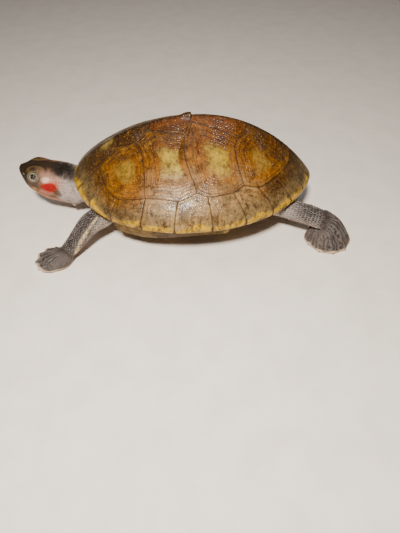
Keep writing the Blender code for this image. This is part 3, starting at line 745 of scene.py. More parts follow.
def marginal_tone(place, across, down, height, phase):
    """Brown horn with a bright yellow edge, broken by a short dark mark at each seam."""
    x = place[..., 0]
    cloud, fine = clouds(place, (0.01, 31), (0.0028, 37))
    band = 0.5 + 0.5 * np.sin(CIRCLE * phase + 4.0 * cloud)
    edge = down - height
    wide = 0.0023 + 0.002 * smooth(0.04, 0.085, x) + 0.0014 * smooth(-0.04, -0.085, x)
    wide = wide * (0.8 + 0.2 * np.sin(np.pi * across) + 0.16 * cloud) + 0.0003 * fine
    end = 1.0 - smooth(0.099, 0.102, x)
    near = np.minimum(across, 1.0 - across)
    mark = (1.0 - smooth(0.015, 0.06, near + 0.02 * fine)) * smooth(-1.4, -0.9, edge / wide)
    dull = smooth(0.15, 0.6, down / height) * (1.0 - 0.75 * bell(x, 0.004, 0.026))
    under = smooth(0.0022, 0.0032, edge)
    return paint(
        shell_ground(place),
        ((0.46, 0.29, 0.12), 0.7 * bell(x, 0.0, 0.03)),
        ((0.17, 0.125, 0.06), 0.72 * dull),
        ((0.06, 0.036, 0.014), 0.55 * smooth(0.05, 0.45, cloud)),
        (UMBER, 0.3 * band * smooth(-0.3, 0.4, fine)),
        (STRAW, 0.5 * smooth(-2.1, -1.0, edge / wide) * end),
        (YELLOW, 0.95 * smooth(-1.2, -0.85, edge / wide) * (0.15 + 0.85 * end)),
        ((0.075, 0.03, 0.01), 0.9 * mark),
        ((0.33, 0.205, 0.06), 0.75 * under),
        ((0.07, 0.038, 0.014), 0.75 * smooth(0.05, 0.4, cloud) * under),
    )


def belly_tone(place, across, down, height, phase):
    """Yellow horn with one large dark blotch to a scute, and a browner bridge."""
    cloud, fine = clouds(place, (0.014, 41), (0.004, 43))
    rise = smooth(BELLY_Z + 0.0015, BELLY_Z + 0.006, place[..., 2])
    ahead = smooth(-0.016, -0.034, place[..., 0] + 0.004 * cloud)
    middle = 1.0 - np.sqrt(((across - 0.5) / 0.4) ** 2 + ((down / height - 0.52) / 0.38) ** 2)
    blotch = smooth(-0.1, 0.16, middle + 0.35 * cloud + 0.12 * fine)
    return paint(
        (0.6, 0.43, 0.17),
        ((0.5, 0.29, 0.11), 0.5 * smooth(0.0, 0.6, cloud)),
        ((0.085, 0.046, 0.014), 0.97 * rise),
        ((0.33, 0.21, 0.06), 0.6 * rise * ahead),
        ((0.07, 0.034, 0.018), 0.82 * blotch * (1.0 - rise)),
    )


def along_run(fine, rows, both=False):
    """Resamples each column of a fine sheet by its own run, crowded at the borders."""
    run, columns = run_along(fine), fine.shape[1]
    length = run[-1][:, None]
    margin = EDGE_STOPS[-1] + 0.0005
    rest = margin + np.linspace(0.0, 1.0, rows) * (length - margin * (2 if both else 1))
    parts = [np.broadcast_to(EDGE_STOPS, (columns, len(EDGE_STOPS))), rest]
    if both:
        parts.append(length - EDGE_STOPS[::-1])
    stops = np.concatenate(parts, 1)
    made = [
        np.stack([np.interp(stops[c], run[:, c], fine[:, c, k]) for k in range(3)], -1)
        for c in range(columns)
    ]
    return np.stack(made, 1), run[-1].mean()


def border(grid):
    """The border of a grid, walked once round."""
    return np.concatenate([grid[0], grid[1:, -1], grid[-1, ::-1][1:], grid[1:-1, 0][::-1]])


def sheet_plate(name, side, surface, share, body=None):
    """A four-sided scute on a sheet of points, its edges rounded into the grooves.

    body is the run of the part of a marginal that carries growth rings; without it the scute
    is one of the plastron's, a slab that is rounded on all four sides."""
    rows, columns = surface.shape[:2]
    heart = (rows // 2, columns // 2)
    normal = grid_normals(surface, False)
    if (normal[rows // 3, columns // 2, 2] > 0.0) != bool(body):
        normal = -normal
    down = run_along(surface)
    width = np.linalg.norm(np.diff(surface, axis=1), axis=2).sum(1)[:, None]
    across = np.broadcast_to(share, down.shape)
    seam = np.minimum(np.minimum(across, 1.0 - across) * width, down)
    if not body:
        seam = np.minimum(seam, down[-1] - down)
    height = body or down[-1].mean()
    inside = np.clip(down / height, 0.0, 1.0)
    phase = 6.0 * np.clip(np.maximum(1.0 - across, 1.0 - inside), 0.0, 1.0)
    rings = MARGIN_RELIEF * np.sin(CIRCLE * phase) * smooth(0.0, 0.0012, seam) * (down < height)
    flare = 0.0001 * bell(down, height, 0.0022) if body else 0.0
    solid = surface + normal * (edge_drop(seam) + rings - 0.0001 + flare)[..., None]
    narrowed = 2.0 * SEAM_GAP / np.maximum(width, 0.002)
    solid = blend(solid, solid.mean(1, keepdims=True), narrowed[..., None])
    start = rows * columns
    loop = border(np.arange(start).reshape(rows, columns))
    if body:
        skirt = border(solid) - border(normal) * PLATE_DEPTH
        hub = (skirt.mean(0) + solid[heart] - normal[heart] * 0.002) * 0.5
        back = np.concatenate([skirt, hub[None]])
        rim = start + np.arange(len(loop))
        floor = fan(start + len(loop), rim[::-1])
        tone, look, slot = marginal_tone, SCUTE, "carapace_scutes"
    else:
        back = (solid - normal * 0.5 * PLATE_DEPTH).reshape(-1, 3)
        rim, floor = start + loop, grid_faces(rows, columns, False)[:, ::-1] + start
        tone, look, slot = belly_tone, BELLY_SCUTE, "plastron_scutes"
    walls = np.stack([loop, rim, np.roll(rim, -1), np.roll(loop, -1)], -1)
    points = np.concatenate([solid.reshape(-1, 3), back]) * [1.0, side, 1.0]
    faces = outward(points, [grid_faces(rows, columns, False), walls, floor])
    colours = tone(surface, across, down, height, phase).reshape(-1, 3)
    tones = np.concatenate([colours, np.tile([0.04, 0.02, 0.01], (len(back), 1))])
    hidden = np.zeros(len(back))
    new_object(name, points, faces, look, slot, tones,
               ring=np.append(phase, hidden), seam=np.append(seam, hidden))


def crowded(count, ease):
    """Shares from 0 to 1 that draw together at both ends."""
    share = np.linspace(0.0, 1.0, count)
    return share - ease * np.sin(CIRCLE * share)


def marginal_sheet(run, angle):
    """From the scutes above down over the rim and in beneath it.

    The nuchal's angles start past pi, on the other side of the keel."""
    inner = np.stack([np.interp(run, INNER_RUN, INNER[:, axis]) for axis in (0, 1)], -1)
    inner[angle > math.pi, 1] *= -1.0
    rim = np.stack(outline(angle), -1)
    fall = np.linspace(0.0, 1.0, 140) ** 0.7
    path = inner + (rim - inner) * fall[:, None, None]
    z = roof(path[..., 0], path[..., 1])
    z[-1] = rim_height(rim[:, 0])
    upper, length = along_run(np.concatenate([path, z[..., None]], -1), 20)
    inward = unit(inner - rim)
    under = [np.column_stack([rim + inward * a, z[-1] - b]) for a, b in RIM_PROFILE]
    return np.concatenate([upper, np.array(under)]), length


def marginals():
    share = crowded(27, 0.045)
    marks = INNER_MARKS + [INNER_RUN[-1]]
    angles = [rim_angle(place[0]) for place in MARGIN_SEAMS] + [0.0]
    for k in range(len(MARGIN_SEAMS)):
        sheet, length = marginal_sheet(
            blend(marks[k], marks[k + 1], share), blend(angles[k], angles[k + 1], share))
        for side, label in SIDES:
            sheet_plate(f"marginal_{k + 1}_{label}", side, sheet, share, length)
    turn = 2.0 * share - 1.0
    sheet, length = marginal_sheet(marks[0] * np.abs(turn), math.pi - (math.pi - angles[0]) * turn)
    sheet_plate("nuchal", 1, sheet, share, length)


# Seams of the plastron, as stations of the outline (x at the edge), front to rear.
BELLY_SEAMS = (-0.0925, -0.07, -0.015, 0.042, 0.086)
BELLY_NAMES = ("gular", "humeral", "pectoral", "abdominal", "femoral", "anal")
BELLY_INSET = 0.0008
LOBE_TIP_SHARE, LOBE_TIP_REACH = 0.72, 0.6
REAR_TIP_CUT, REAR_TIP_REACH = 0.12, 0.25


def plastron_point(angle, share, inset=BELLY_INSET, lift=0.0):
    """Point of the underside: share runs from the middle line (0) to the edge (1)."""
    station, side = outline(angle)[0], np.abs(np.sin(angle))
    front = 1.0 - smooth(BRIDGE_FRONT - 0.006, BRIDGE_FRONT + 0.001, station)
    weight = np.maximum(front, smooth(BRIDGE_REAR - 0.001, BRIDGE_REAR + 0.006, station))
    lobe = LOBE_SHARE * blend(LOBE_TIP_SHARE, 1.0, smooth(0.0, LOBE_TIP_REACH, side))
    cut = REAR_TIP_CUT * (1.0 - smooth(0.0, REAR_TIP_REACH, side))
    lobe = lobe - np.where(np.cos(angle) > 0.0, cut, 0.0)
    reach = share * blend(1.0, lobe, weight)
    x, y, ex = ridge_point(angle, reach, inset)
    climb = hull(angle, reach, blend(FLAT_SHARE, LOBE_SHARE, weight))
    return np.stack([x, y, blend(BELLY_Z + lift, rim_height(ex) - LIP - GAP, climb)], -1)


def plastron():
    share, fine = crowded(41, 0.04), np.linspace(0.0, 1.0, 500)[:, None]
    angles = [math.pi] + [rim_angle(x) for x in BELLY_SEAMS] + [0.0]
    for k, name in enumerate(BELLY_NAMES):
        turn = blend(angles[k], angles[k + 1], share)[None]
        sheet, _ = along_run(plastron_point(turn, fine), 50, True)
        for side, label in SIDES:
            sheet_plate(f"{name}_{label}", side, sheet, share)


# Inset from the outline and lift of the bone's underside, and of its upper side.
BONE_UNDER, BONE_OVER = (BELLY_INSET + 0.0004, 0.00042), (0.0042, 0.0029)


def plastron_bone():
    """Closed body of the plastron under its scutes."""
    angle = turns(240)[None]
    share = np.concatenate((np.linspace(0.0, 0.62, 12), np.linspace(0.64, 1.0, 34)))[:, None]
    below = plastron_point(angle, share, *BONE_UNDER)
    above = plastron_point(angle, share, *BONE_OVER)[::-1]
    sheet = np.concatenate([below, above])
    points = sheet.reshape(-1, 3)
    faces = outward(points, [grid_faces(*sheet.shape[:2], True)])
    made = new_object("plastron_bone", points, faces, BELLY_SEAM, "plastron_scutes")
    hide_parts("plastron")


VAULT_INSET, VAULT_DEPTH, VAULT_SAG, VAULT_EDGE = 0.0052, 0.0036, 0.003, 0.0032


def base_shell():
    """The bone under the horn: roof, rim, lip and vault, showing only as the seams."""
    x = outline(np.linspace(0.012, math.pi - 0.012, 150))[0][:, None]
    wide, rim = half_width(x), rim_height(x)
    y = np.sin(0.5 * math.pi * np.linspace(-1.0, 1.0, 121)) * wide
    top = np.stack([x + 0.0 * y, y, roof(x, y)], -1)
    normal = grid_normals(top, False)
    normal[normal[..., 2] < 0.0] *= -1.0
    top = top - normal * SEAM_DEPTH + knob(x, y, None)[..., None] * UP * 0.9
    down, inset = np.array([0.0012, 0.0024, 0.0031]), np.array([0.0006, 0.0007, 0.0011])
    right = np.stack([x + 0.0 * down, np.maximum(wide - inset, 1e-4), rim - down], -1)
    left = right[:, ::-1] * [1.0, -1.0, 1.0]
    inner = np.linspace(1.0, -1.0, 41) * np.maximum(wide - VAULT_INSET, 5e-5)
    arch = roof(x, inner) - VAULT_DEPTH - VAULT_SAG * (inner / wide) ** 4
    arch[:, [0, -1]] = rim - VAULT_EDGE
    vault = np.stack([x + 0.0 * inner, inner, arch], -1)
    points, faces = tube(np.concatenate([top, right, vault, left], 1))
    made = new_object("carapace_bone", points, faces, SEAM, "carapace_scutes")
    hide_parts("carapace")


# ------------------------------------------------------------------ flesh: shared helpers
ROW_STEP = 0.0004
FLESH_NODES = ["trunk", "head", "jaw_lower", "neck", "tail"]
for _, side_name in SIDES:
    for kind in ("fore", "hind"):
        FLESH_NODES += [f"{kind}leg_{side_name}_{part}" for part in ("upper", "lower")]
        FLESH_NODES.append(f"{kind}foot_{side_name}")


class Flesh:
    """Gathers the closed sheets of the skin with their tones and creases into one mesh."""

    def __init__(self):
        self.points, self.faces, self.tones, self.creases = [], [], [], []

    def add(self, sheet, tone, crease):
        start = sum(len(points) for points in self.points)
        points, faces = tube(sheet)
        self.points.append(points)
        self.faces += [f + start for f in faces]
        self.tones += [tone.reshape(-1, 3), tone[[0, -1]].mean(1)]
        self.creases += [crease.ravel(), np.zeros(2)]

    def build(self):
        made = new_object("skin", np.concatenate(self.points), self.faces, SKIN, "skin",
                          np.concatenate(self.tones), crease=np.concatenate(self.creases))
        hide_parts(*FLESH_NODES)


def skin_folds(points, spacing, seed, axis):
    """Ridged wrinkles that run across an axis, 0 in the groove and 1 on the fold."""
    run = points @ np.array(axis) / spacing + 1.1 * rough_noise(points, spacing * 3.0, seed)
    fold = np.abs(np.sin(np.pi * run)) ** 0.55
    return blend(1.0, fold, smooth(-0.5, 0.5, rough_noise(points, spacing * 4.0, seed + 5)))


def spine(stations, side, rows=None):
    """A limb's curve (centre, half-width, half-thickness), its shares of the run and its axes."""
    table = tenths(stations) * [1.0, side, 1.0, 1.0, 1.0]
    run = run_along(table[:, :3])
    where = np.linspace(0.0, run[-1], rows or int(run[-1] / ROW_STEP))
    curve = hermite(np.column_stack([run, table]), where)
    along = unit(np.gradient(curve[:, :3], axis=0))
    across = unit(np.cross(UP, along))
    return curve, where / run[-1], along, across, np.cross(along, across)


def spot(x, z, at_x, at_z, long, tall, tilt=0.0, soft=0.35, wobble=0.0):
    """Mask of a soft-edged oval seen from the side."""
    c, s = math.cos(tilt), math.sin(tilt)
    u = ((x - at_x) * c + (z - at_z) * s) / long
    v = (-(x - at_x) * s + (z - at_z) * c) / tall
    return 1.0 - smooth(1.0 - soft, 1.0 + soft, np.sqrt(u * u + v * v) + wobble)


def stripe(x, z, line, width, soft=0.5, wobble=0.0):
    """Mask of a band about a polyline seen from the side."""
    best = np.full(x.shape, 1.0)
    for (x0, z0), (x1, z1) in zip(line[:-1], line[1:]):
        dx, dz = x1 - x0, z1 - z0
        share = np.clip(((x - x0) * dx + (z - z0) * dz) / (dx * dx + dz * dz), 0.0, 1.0)
        best = np.minimum(best, np.hypot(x - x0 - share * dx, z - z0 - share * dz))
    return 1.0 - smooth(width * (1.0 - soft), width * (1.0 + soft), best + wobble * width)


# ------------------------------------------------------------------ flesh: head and neck
# Distance behind the snout, top, bottom and half-width.
HEAD_STATIONS = tenths([
    (0, 482, 458, 16), (9, 489, 420, 42), (26, 493, 335, 66), (55, 499, 262, 91),
    (95, 506, 226, 110), (135, 509, 194, 125), (180, 509, 162, 139), (225, 507, 146, 147),
    (285, 499, 130, 152), (345, 480, 122, 165), (405, 451, 121, 178), (462, 412, 132, 187),
    (510, 387, 158, 190), (570, 375, 180, 188),
])
EYE_RADIUS, EYE_BEHIND, EYE_OUT, EYE_Z = 0.0045, 0.014, 0.0096, 0.0443
GAZE = np.array([0.1, -0.83, 0.54])
LID_LONG, LID_TALL = 0.0039, 0.00355
BROW_HEIGHT, GRANULE_RELIEF = 0.0027, 0.00007
NECK_FOLD, THROAT_FOLD, COLLAR_FOLD = 0.00095, 0.0006, 0.0009  # depths
MOUTH = tenths([(0, 385), (43, 346), (85, 328), (128, 322), (150, 306), (162, 288)])
JAW_LINE = tenths([(-1335, 290), (-1248, 248), (-1142, 224), (-1080, 205)])
DARK_LINE = tenths([
    (-1423, 440), (-1375, 452), (-1330, 462), (-1270, 486), (-1200, 488), (-1140, 474),
    (-1080, 462), (-1020, 440), (-960, 412), (-880, 375),
])
SKIN_DARK = (0.022, 0.016, 0.012)
SKIN_GREY = (0.11, 0.088, 0.078)
SKIN_PALE = (0.56, 0.44, 0.37)
CHEEK = (0.18, 0.105, 0.068)
PINK = (0.74, 0.36, 0.29)
RED = (0.47, 0.001, 0.001)
INK = (0.008, 0.005, 0.003)


def soft_power(value, power):
    """sign(v)|v|^power without a crease at zero."""
    return value * ((value * value + 0.02) / 1.02) ** ((power - 1.0) / 2.0)


def head_surface(behind, turn):
    """Smooth form of head and neck; turn is 0 on her right, a quarter turn at the crown."""
    table = HEAD_STATIONS.copy()
    table[:, 0] = np.sqrt(table[:, 0])
    nose = np.sqrt(np.clip(behind / 0.001, 0.0, 1.0))
    top, bottom, wide = hermite(table, np.sqrt(behind)).T
    core = 0.047
    top, bottom = blend(core, top, nose)[:, None], blend(core, bottom, nose)[:, None]
    c, s = np.cos(turn)[None], np.sin(turn)[None]
    middle = bottom + 0.56 * (top - bottom)
    y = (wide * nose)[:, None] * soft_power(c, 0.86) * (1.0 - 0.16 * np.maximum(0.0, -s) ** 1.3)
    z = middle + np.where(s > 0.0, top - middle, middle - bottom) * soft_power(s, 0.84)
    off = (np.degrees(np.arctan2(s, np.abs(c))) - 42.0) / 26.0
    along = (behind[:, None] - EYE_BEHIND) / 0.007
    brow = BROW_HEIGHT * np.exp(-along * along - off * off) * smooth(-0.05, 0.1, s)
    return np.stack([SNOUT_X + behind[:, None] + 0.0 * y, y + brow * c, z + brow * s], -1)


def head_tone(place):
    """Markings of head and neck, the same on both sides, from the side plane."""
    x, y, z = place[..., 0], np.abs(place[..., 1]), place[..., 2]
    cloud, fine = clouds(place, (0.006, 51), (0.0018, 53))
    wobble = 0.22 * cloud + 0.14 * fine
    neck = smooth(-0.115, -0.108, x)
    snout = smooth(-0.131, -0.137, x + 0.0012 * cloud) * smooth(0.0345, 0.038, z)
    above = np.interp(x, *DARK_LINE.T)
    loose = smooth(-0.098, -0.108, x)
    edge = z + (0.0005 + 0.0015 * loose) * cloud + 0.0012 * fine
    dark = smooth(above - 0.0024, above + 0.0018, edge)
    dusk = smooth(above - 0.006, above, z + 0.002 * cloud) * neck
    over, crown = np.hypot((x + 0.1265) / 0.0072, (y - 0.0078) / 0.0042), smooth(0.047, 0.0495, z)
    lines = np.abs(np.sin(np.pi * (z / 0.0019 + x / 0.012 + 0.9 * cloud + 0.3 * fine))) ** 0.7

    def ovals(*rows, wobble=wobble, gate=1.0):
        """Coats from rows of colour, strength, x, z, length, height, tilt and softness."""
        for colour, strength, *where, tilt, soft in rows:
            yield colour, strength * gate * spot(x, z, *tenths(where), tilt, soft, wobble)

    return paint(
        CHEEK,
        ((0.65, 0.55, 0.49), neck),
        ((0.56, 0.46, 0.39), smooth(0.022, 0.015, z)),
        *ovals(
            ((0.42, 0.235, 0.16), 0.8, -1290, 275, 110, 50, 0.15, 0.4),
            ((0.68, 0.44, 0.35), 0.45, -1170, 430, 120, 60, -0.1, 0.5),
        ),
        ((0.014, 0.009, 0.005), 0.92 * snout),
        *ovals(((0.035, 0.021, 0.011), 0.85, -1285, 452, 75, 56, 0.0, 0.35)),
        ((0.12, 0.085, 0.065), 0.6 * dusk),
        ((0.022, 0.013, 0.006), 0.95 * dark),
        (INK, 0.85 * dark * smooth(-0.116, -0.108, x)),
        *ovals(((0.4, 0.22, 0.16), 0.78, -1178, 478, 64, 32, -0.2, 0.6),
               wobble=2.0 * wobble, gate=smooth(0.003, 0.009, y)),
        ((0.15, 0.098, 0.045), 0.65 * bell(over, 0.75, 0.3) * crown),
        (INK, 0.8 * bell(over, 1.25, 0.2) * crown),
        *ovals(
            # The first oval, near white above the red patch, is a painted highlight on pale pink
            # skin.
            ((1.0, 0.72, 0.58), 0.95, -1176, 430, 36, 25, -0.2, 0.4),
            (PINK, 0.85, -1105, 412, 50, 36, -0.1, 0.4),
            (PINK, 0.55, -1190, 325, 65, 32, 0.1, 0.5),
            (RED, 0.5, -1158, 372, 76, 48, 0.05, 0.35),
            (RED, 0.97, -1162, 370, 62, 38, 0.05, 0.28),
            (RED, 0.75, -1212, 380, 26, 16, 0.2, 0.4),
            ((0.08, 0.034, 0.012), 0.85, -1106, 318, 32, 36, 0.0, 0.4),
            ((0.085, 0.055, 0.032), 0.75, -1300, 385, 70, 34, 0.1, 0.45),
        ),
        *ovals(((0.74, 0.54, 0.18), 0.6, -1310, 334, 22, 9, 0.2, 0.4), wobble=0.0),
        ((0.8, 0.42, 0.32), 0.72 * stripe(x, z, JAW_LINE, 0.0017, 0.5, wobble)),
        *ovals(((0.64, 0.12, 0.08), 0.4, -1275, 305, 34, 12, -0.35, 0.5)),
        *ovals(((0.74, 0.6, 0.4), 0.45, -1368, 464, 7, 5, -0.5, 0.5), wobble=0.0),
        ((0.24, 0.205, 0.185), 0.85 * (1.0 - lines) * neck * (1.0 - dark)),
        ((0.28, 0.225, 0.205), 0.6 * smooth(0.15, 0.6, cloud) * neck * (1.0 - dark)),
        ((0.1, 0.07, 0.05), 0.2 * smooth(0.15, 0.6, fine)),
    )


def eye_axes(side):
    gaze = unit(GAZE * [1.0, -side, 1.0])
    long = unit(np.array([1.0, 0.0, 0.0]) - gaze * gaze[0])
    tall = np.cross(gaze, long)
    centre = np.array([SNOUT_X + EYE_BEHIND, side * EYE_OUT, EYE_Z])
    return centre, gaze, long, tall * np.sign(tall[2])


def eyelids(sheet, crease, side):
    """Sinks the socket behind the eyeball and raises two lids about it."""
    centre, *axes = eye_axes(side)
    h, a, b = ((sheet - centre) @ axis for axis in axes)
    spread = np.hypot(a / LID_LONG, b / LID_TALL)
    near = (spread < 2.9) & (h > -0.0035)
    a, b, h, spread = a[near], b[near], h[near], spread[near]

    def basis(u, v):
        """Terms of a quartic surface, for the cheek as it would be without the eye."""
        unit_size = 0.006
        powers = [(i, j) for i in range(5) for j in range(5 - i)]
        return np.stack([(u / unit_size) ** i * (v / unit_size) ** j for i, j in powers], -1)

    weights = np.linalg.lstsq(basis(a, b), h, rcond=None)[0]
    off = spread - 1.0
    drawn = np.where(np.abs(off) < 1.0, 1.0 + np.sign(off) * np.abs(off) ** 1.45, spread)
    pull = drawn / np.maximum(spread, 1e-6)
    u, v = a * pull, b * pull
    r2 = u * u + v * v
    ball = np.sqrt(np.maximum(0.0, EYE_RADIUS**2 - r2 * (1.04 / np.maximum(drawn, 1.04)) ** 2))
    upper = smooth(-0.2, 0.6, v / LID_TALL)
    groove = 0.35 + 0.65 * upper
    lid = ball + 0.0005 * smooth(0.965, 1.07, drawn) + 0.00012
    lid = lid + (0.0002 + 0.00035 * upper) * bell(drawn, 1.22, 0.16)
    body = blend(lid, basis(u, v) @ weights, smooth(1.12, 1.6, drawn))
    globe = np.sqrt(np.maximum(0.0, EYE_RADIUS**2 - r2)) + 0.00045 * smooth(1.0, 1.15, drawn)
    body = np.where(r2 < EYE_RADIUS**2, np.maximum(body, globe), body)
    for stop, depth in ((1.55, 0.0004), (1.95, 0.00022)):
        body = body - depth * groove * bell(drawn, stop, 0.07)
    rise = blend(ball - 0.0013, body, smooth(0.9, 0.995, drawn))
    away = smooth(2.0, 2.6, spread)
    rise, u, v = blend(rise, h, away), blend(u, a, away), blend(v, b, away)
    sheet[near] = centre + np.stack([rise, u, v], -1) @ np.array(axes)
    shade = (bell(drawn, 1.55, 0.1) * 0.8 + bell(drawn, 1.95, 0.08) * 0.45) * groove
    shade = np.maximum(shade, 1.0 - smooth(0.9, 1.0, drawn))
    crease[near] = np.maximum(crease[near], shade * (1.0 - smooth(2.1, 2.7, spread)))
    lidded = np.zeros(crease.shape)
    lidded[near] = bell(drawn, 1.1, 0.1)
    return sheet, crease, lidded


def head_and_neck(flesh):
    behind = np.concatenate((
        0.003 * np.linspace(0.02, 1.0, 34)[:-1] ** 2.0,
        np.linspace(0.003, 0.024, 105)[:-1],
        np.linspace(0.024, 0.06, 120),
    ))
    even = turns(360)
    plain = head_surface(np.minimum(behind, 0.057), even - 0.16 * np.sin(2.0 * even) * 0.9)
    plain[..., 0] = SNOUT_X + behind[:, None]
    tone, normal = head_tone(plain), grid_normals(plain, True)
    x, y, z = plain[..., 0], np.abs(plain[..., 1]), plain[..., 2]
    back = x - SNOUT_X
    gape = z - np.interp(back, *MOUTH.T)
    face = (1.0 - smooth(0.0158, 0.0172, back)) * smooth(-0.0002, 0.001, back + 0.001)
    fold = np.hypot(back - 0.016, z - 0.03)
    tip = back < 0.0045
    nostril = np.sqrt((back - 0.0007) ** 2 * 0.3 + (y - 0.0013) ** 2 + (z - 0.0466) ** 2)
    wattle = np.sqrt((x + 0.1005) ** 2 + (y - 0.0112) ** 2 + (z - 0.017) ** 2)
    bulge = np.hypot((x + 0.1265) / 0.0064, (y - 0.008) / 0.004)
    drum = np.hypot((back - 0.0262) / 0.0036, (z - 0.0372) / 0.0031)
    # Distance, where the feature lies in it, its width, push outwards, shade, its width, gate.
    features = [
        (gape, 0.0, 0.00028, -0.00075, 0.95, 0.00026, face),
        (gape, 0.00075, 0.0005, 0.00022, 0.0, 1.0, face),
        (gape, -0.0009, 0.00055, 0.0001, 0.0, 1.0, face),
        (np.hypot(back - 0.0172, z - 0.028), 0.0, 0.001, -0.0003, 0.0, 1.0, 1.0),
        (nostril, 0.0, 0.00042, -0.00075, 1.0, 0.00045, tip),
        (nostril, 0.00085, 0.0003, 0.00015, 0.0, 1.0, tip),
        (drum, 1.0, 0.16, -0.00024, 0.4, 0.13, 1.0),
        (bulge, 0.0, 0.85, 0.0009, 0.0, 1.0, smooth(0.047, 0.049, z)),
        (wattle, 0.0, 0.0015, 0.0026, 0.0, 1.0, 1.0),
    ]
    cheek = smooth(0.0162, 0.018, back)
    for distance in (0.0016, 0.0029, 0.0043):
        features.append((fold, distance, 0.00028, -0.00018, 0.45, 0.00028, cheek))
    flank_mask = smooth(0.004, 0.009, y) * smooth(0.0155, 0.0185, back) * smooth(0.0385, 0.042, z)
    for step in range(4):
        long, tall = 0.006 + 0.0013 * step, 0.0056 + 0.0012 * step
        arc = np.hypot((back - EYE_BEHIND) / long, (z - 0.0452) / tall)
        features.append((arc, 1.0, 0.045, -0.0002, 0.42, 0.045, flank_mask))
    push, crease = np.zeros(x.shape), np.zeros(x.shape)
    for distance, stop, width, height, shade, shade_width, gate in features:
        push += height * bell(distance, stop, width) * gate
        crease = np.maximum(crease, shade * bell(distance, stop, shade_width) * gate)
    neck = smooth(0.0255, 0.033, back)
    wrinkle = 1.0 - skin_folds(plain, 0.0024, 71, (0.97, 0.06, -0.22))
    second = 1.0 - skin_folds(plain, 0.0027, 73, (0.14, 0.0, 0.99))
    push -= NECK_FOLD * wrinkle * neck + THROAT_FOLD * second * neck * smooth(0.046, 0.03, z)
    # These crease values are painted shade in the neck's wrinkle grooves.
    crease = np.maximum(crease, neck * np.maximum(0.55 * wrinkle, 0.5 * second))
    collar = np.abs(np.sin(np.pi * (back - 0.044) / 0.004))
    push -= COLLAR_FOLD * smooth(0.044, 0.056, back) * collar
    chin = spot(x, z, -0.1, 0.015, 0.007, 0.005, 0.0, 0.5) * neck
    tone = paint(tone, ((0.6, 0.5, 0.43), 0.5 * chin))
    bumpy = 1.0 - 0.75 * smooth(0.0455, 0.0475, z) * (1.0 - neck)
    cells = lattice_noise(plain, 0.00062, 77) - 1.0
    push += GRANULE_RELIEF * cells * bumpy * smooth(0.003, 0.008, back)
    sheet = plain + normal * push[..., None]
    for side, _ in SIDES:
        part = np.sign(plain[..., 1]) == side
        half, half_crease, lidded = eyelids(sheet.copy(), crease.copy(), side)
        sheet = np.where(part[..., None], half, sheet)
        crease = np.where(part, half_crease, crease)
        tone = paint(tone, ((0.23, 0.19, 0.13), 0.8 * lidded * part))
    flesh.add(sheet, tone, crease)
    return sheet, normal, tone


# ------------------------------------------------------------------ flesh: trunk, limbs and tail
# Each limb's side, stations (centre x, y outwards, z, half-width, half-thickness), foot and
# number of claws. A foot has its middle x and y, the heading of the middle toe, toe reaches,
# fan between toes, heel reach, height of the toes' ridges and power of the instep's fall.
FORE_TOES = (0.014, 0.0165, 0.0186, 0.0188, 0.0176)
HIND_TOES = (0.02, 0.022, 0.0228, 0.023, 0.0222)
LIMBS = {
    "foreleg_left": (-1, (
        (-575, 275, 288, 104, 84), (-700, 385, 268, 104, 86), (-802, 462, 240, 98, 72),
        (-866, 518, 188, 90, 57), (-925, 575, 135, 82, 48), (-980, 625, 95, 76, 40),
    ), (-0.1073, 0.0635, -15.0, FORE_TOES, 27.0, 0.0128, 0.0012, 0.75), 5),
    "foreleg_right": (1, (
        (-590, 240, 290, 84, 66), (-700, 400, 290, 84, 62), (-730, 530, 255, 80, 56),
        (-690, 605, 195, 76, 50), (-645, 625, 140, 72, 44), (-600, 625, 95, 66, 38),
    ), (-0.056, 0.0585, 15.0, FORE_TOES, 27.0, 0.0125, 0.0012, 0.75), 5),
    "hindleg_left": (-1, (
        (620, 225, 280, 92, 84), (790, 270, 270, 92, 80), (920, 305, 248, 94, 76),
        (1040, 332, 225, 100, 70), (1140, 350, 190, 106, 62),
    ), (0.12, 0.035, 98.0, HIND_TOES, 31.0, 0.015, 0.0012, 2.1), 4),
    "hindleg_right": (1, (
        (627, 210, 270, 90, 78), (660, 350, 260, 90, 72), (640, 460, 220, 90, 64),
        (600, 520, 165, 92, 54), (560, 545, 115, 94, 44),
    ), (0.052, 0.054, 35.0, HIND_TOES, 26.0, 0.013, 0.0012, 1.0), 4),
}
TAIL_STATIONS = (
    (800, 0, 275, 64, 58), (870, 0, 270, 62, 56), (940, 30, 245, 52, 48),
    (990, 85, 205, 38, 36), (1015, 150, 165, 24, 23), (1025, 210, 135, 9, 9),
)
ARM_STRIPE = tenths([
    (-718, -467), (-748, -510), (-807, -564), (-858, -606), (-887, -645), (-912, -680),
    (-935, -712), (-975, -745), (-1030, -768),
])
WEB_HEIGHT = 0.002
PEBBLE_RELIEF, FOLD_DEPTH, ELBOW_DEPTH = 0.00009, 0.00042, 0.00075
# How the foot's edge turns under, as (share of the web's height, share of the way inwards).
SOLE_EDGE = ((0.8, -0.003), (0.58, -0.001), (0.36, 0.01), (0.18, 0.03), (0.06, 0.06), (0.0, 0.1))


def limb_tone(place, outer, share, foot):
    """Grey skin: dark over the front, a cream stripe down the outer edge, pale in the fold."""
    cloud, fine = clouds(place, (0.006, 61), (0.0016, 63))
    return paint(
        SKIN_GREY,
        (SKIN_DARK, 0.92 * smooth(-0.5, 0.3, cloud + 0.4 * outer)),
        (SKIN_PALE, 0.75 * smooth(0.35, -0.75, outer + 0.25 * cloud) * (1.0 - 0.5 * foot)),
        ((0.02, 0.016, 0.013), 0.8 * foot),
        (SKIN_PALE, 0.55 * smooth(0.3, 0.0, share)),
        ((0.3, 0.24, 0.215), 0.35 * smooth(0.2, 0.6, fine)),
    )


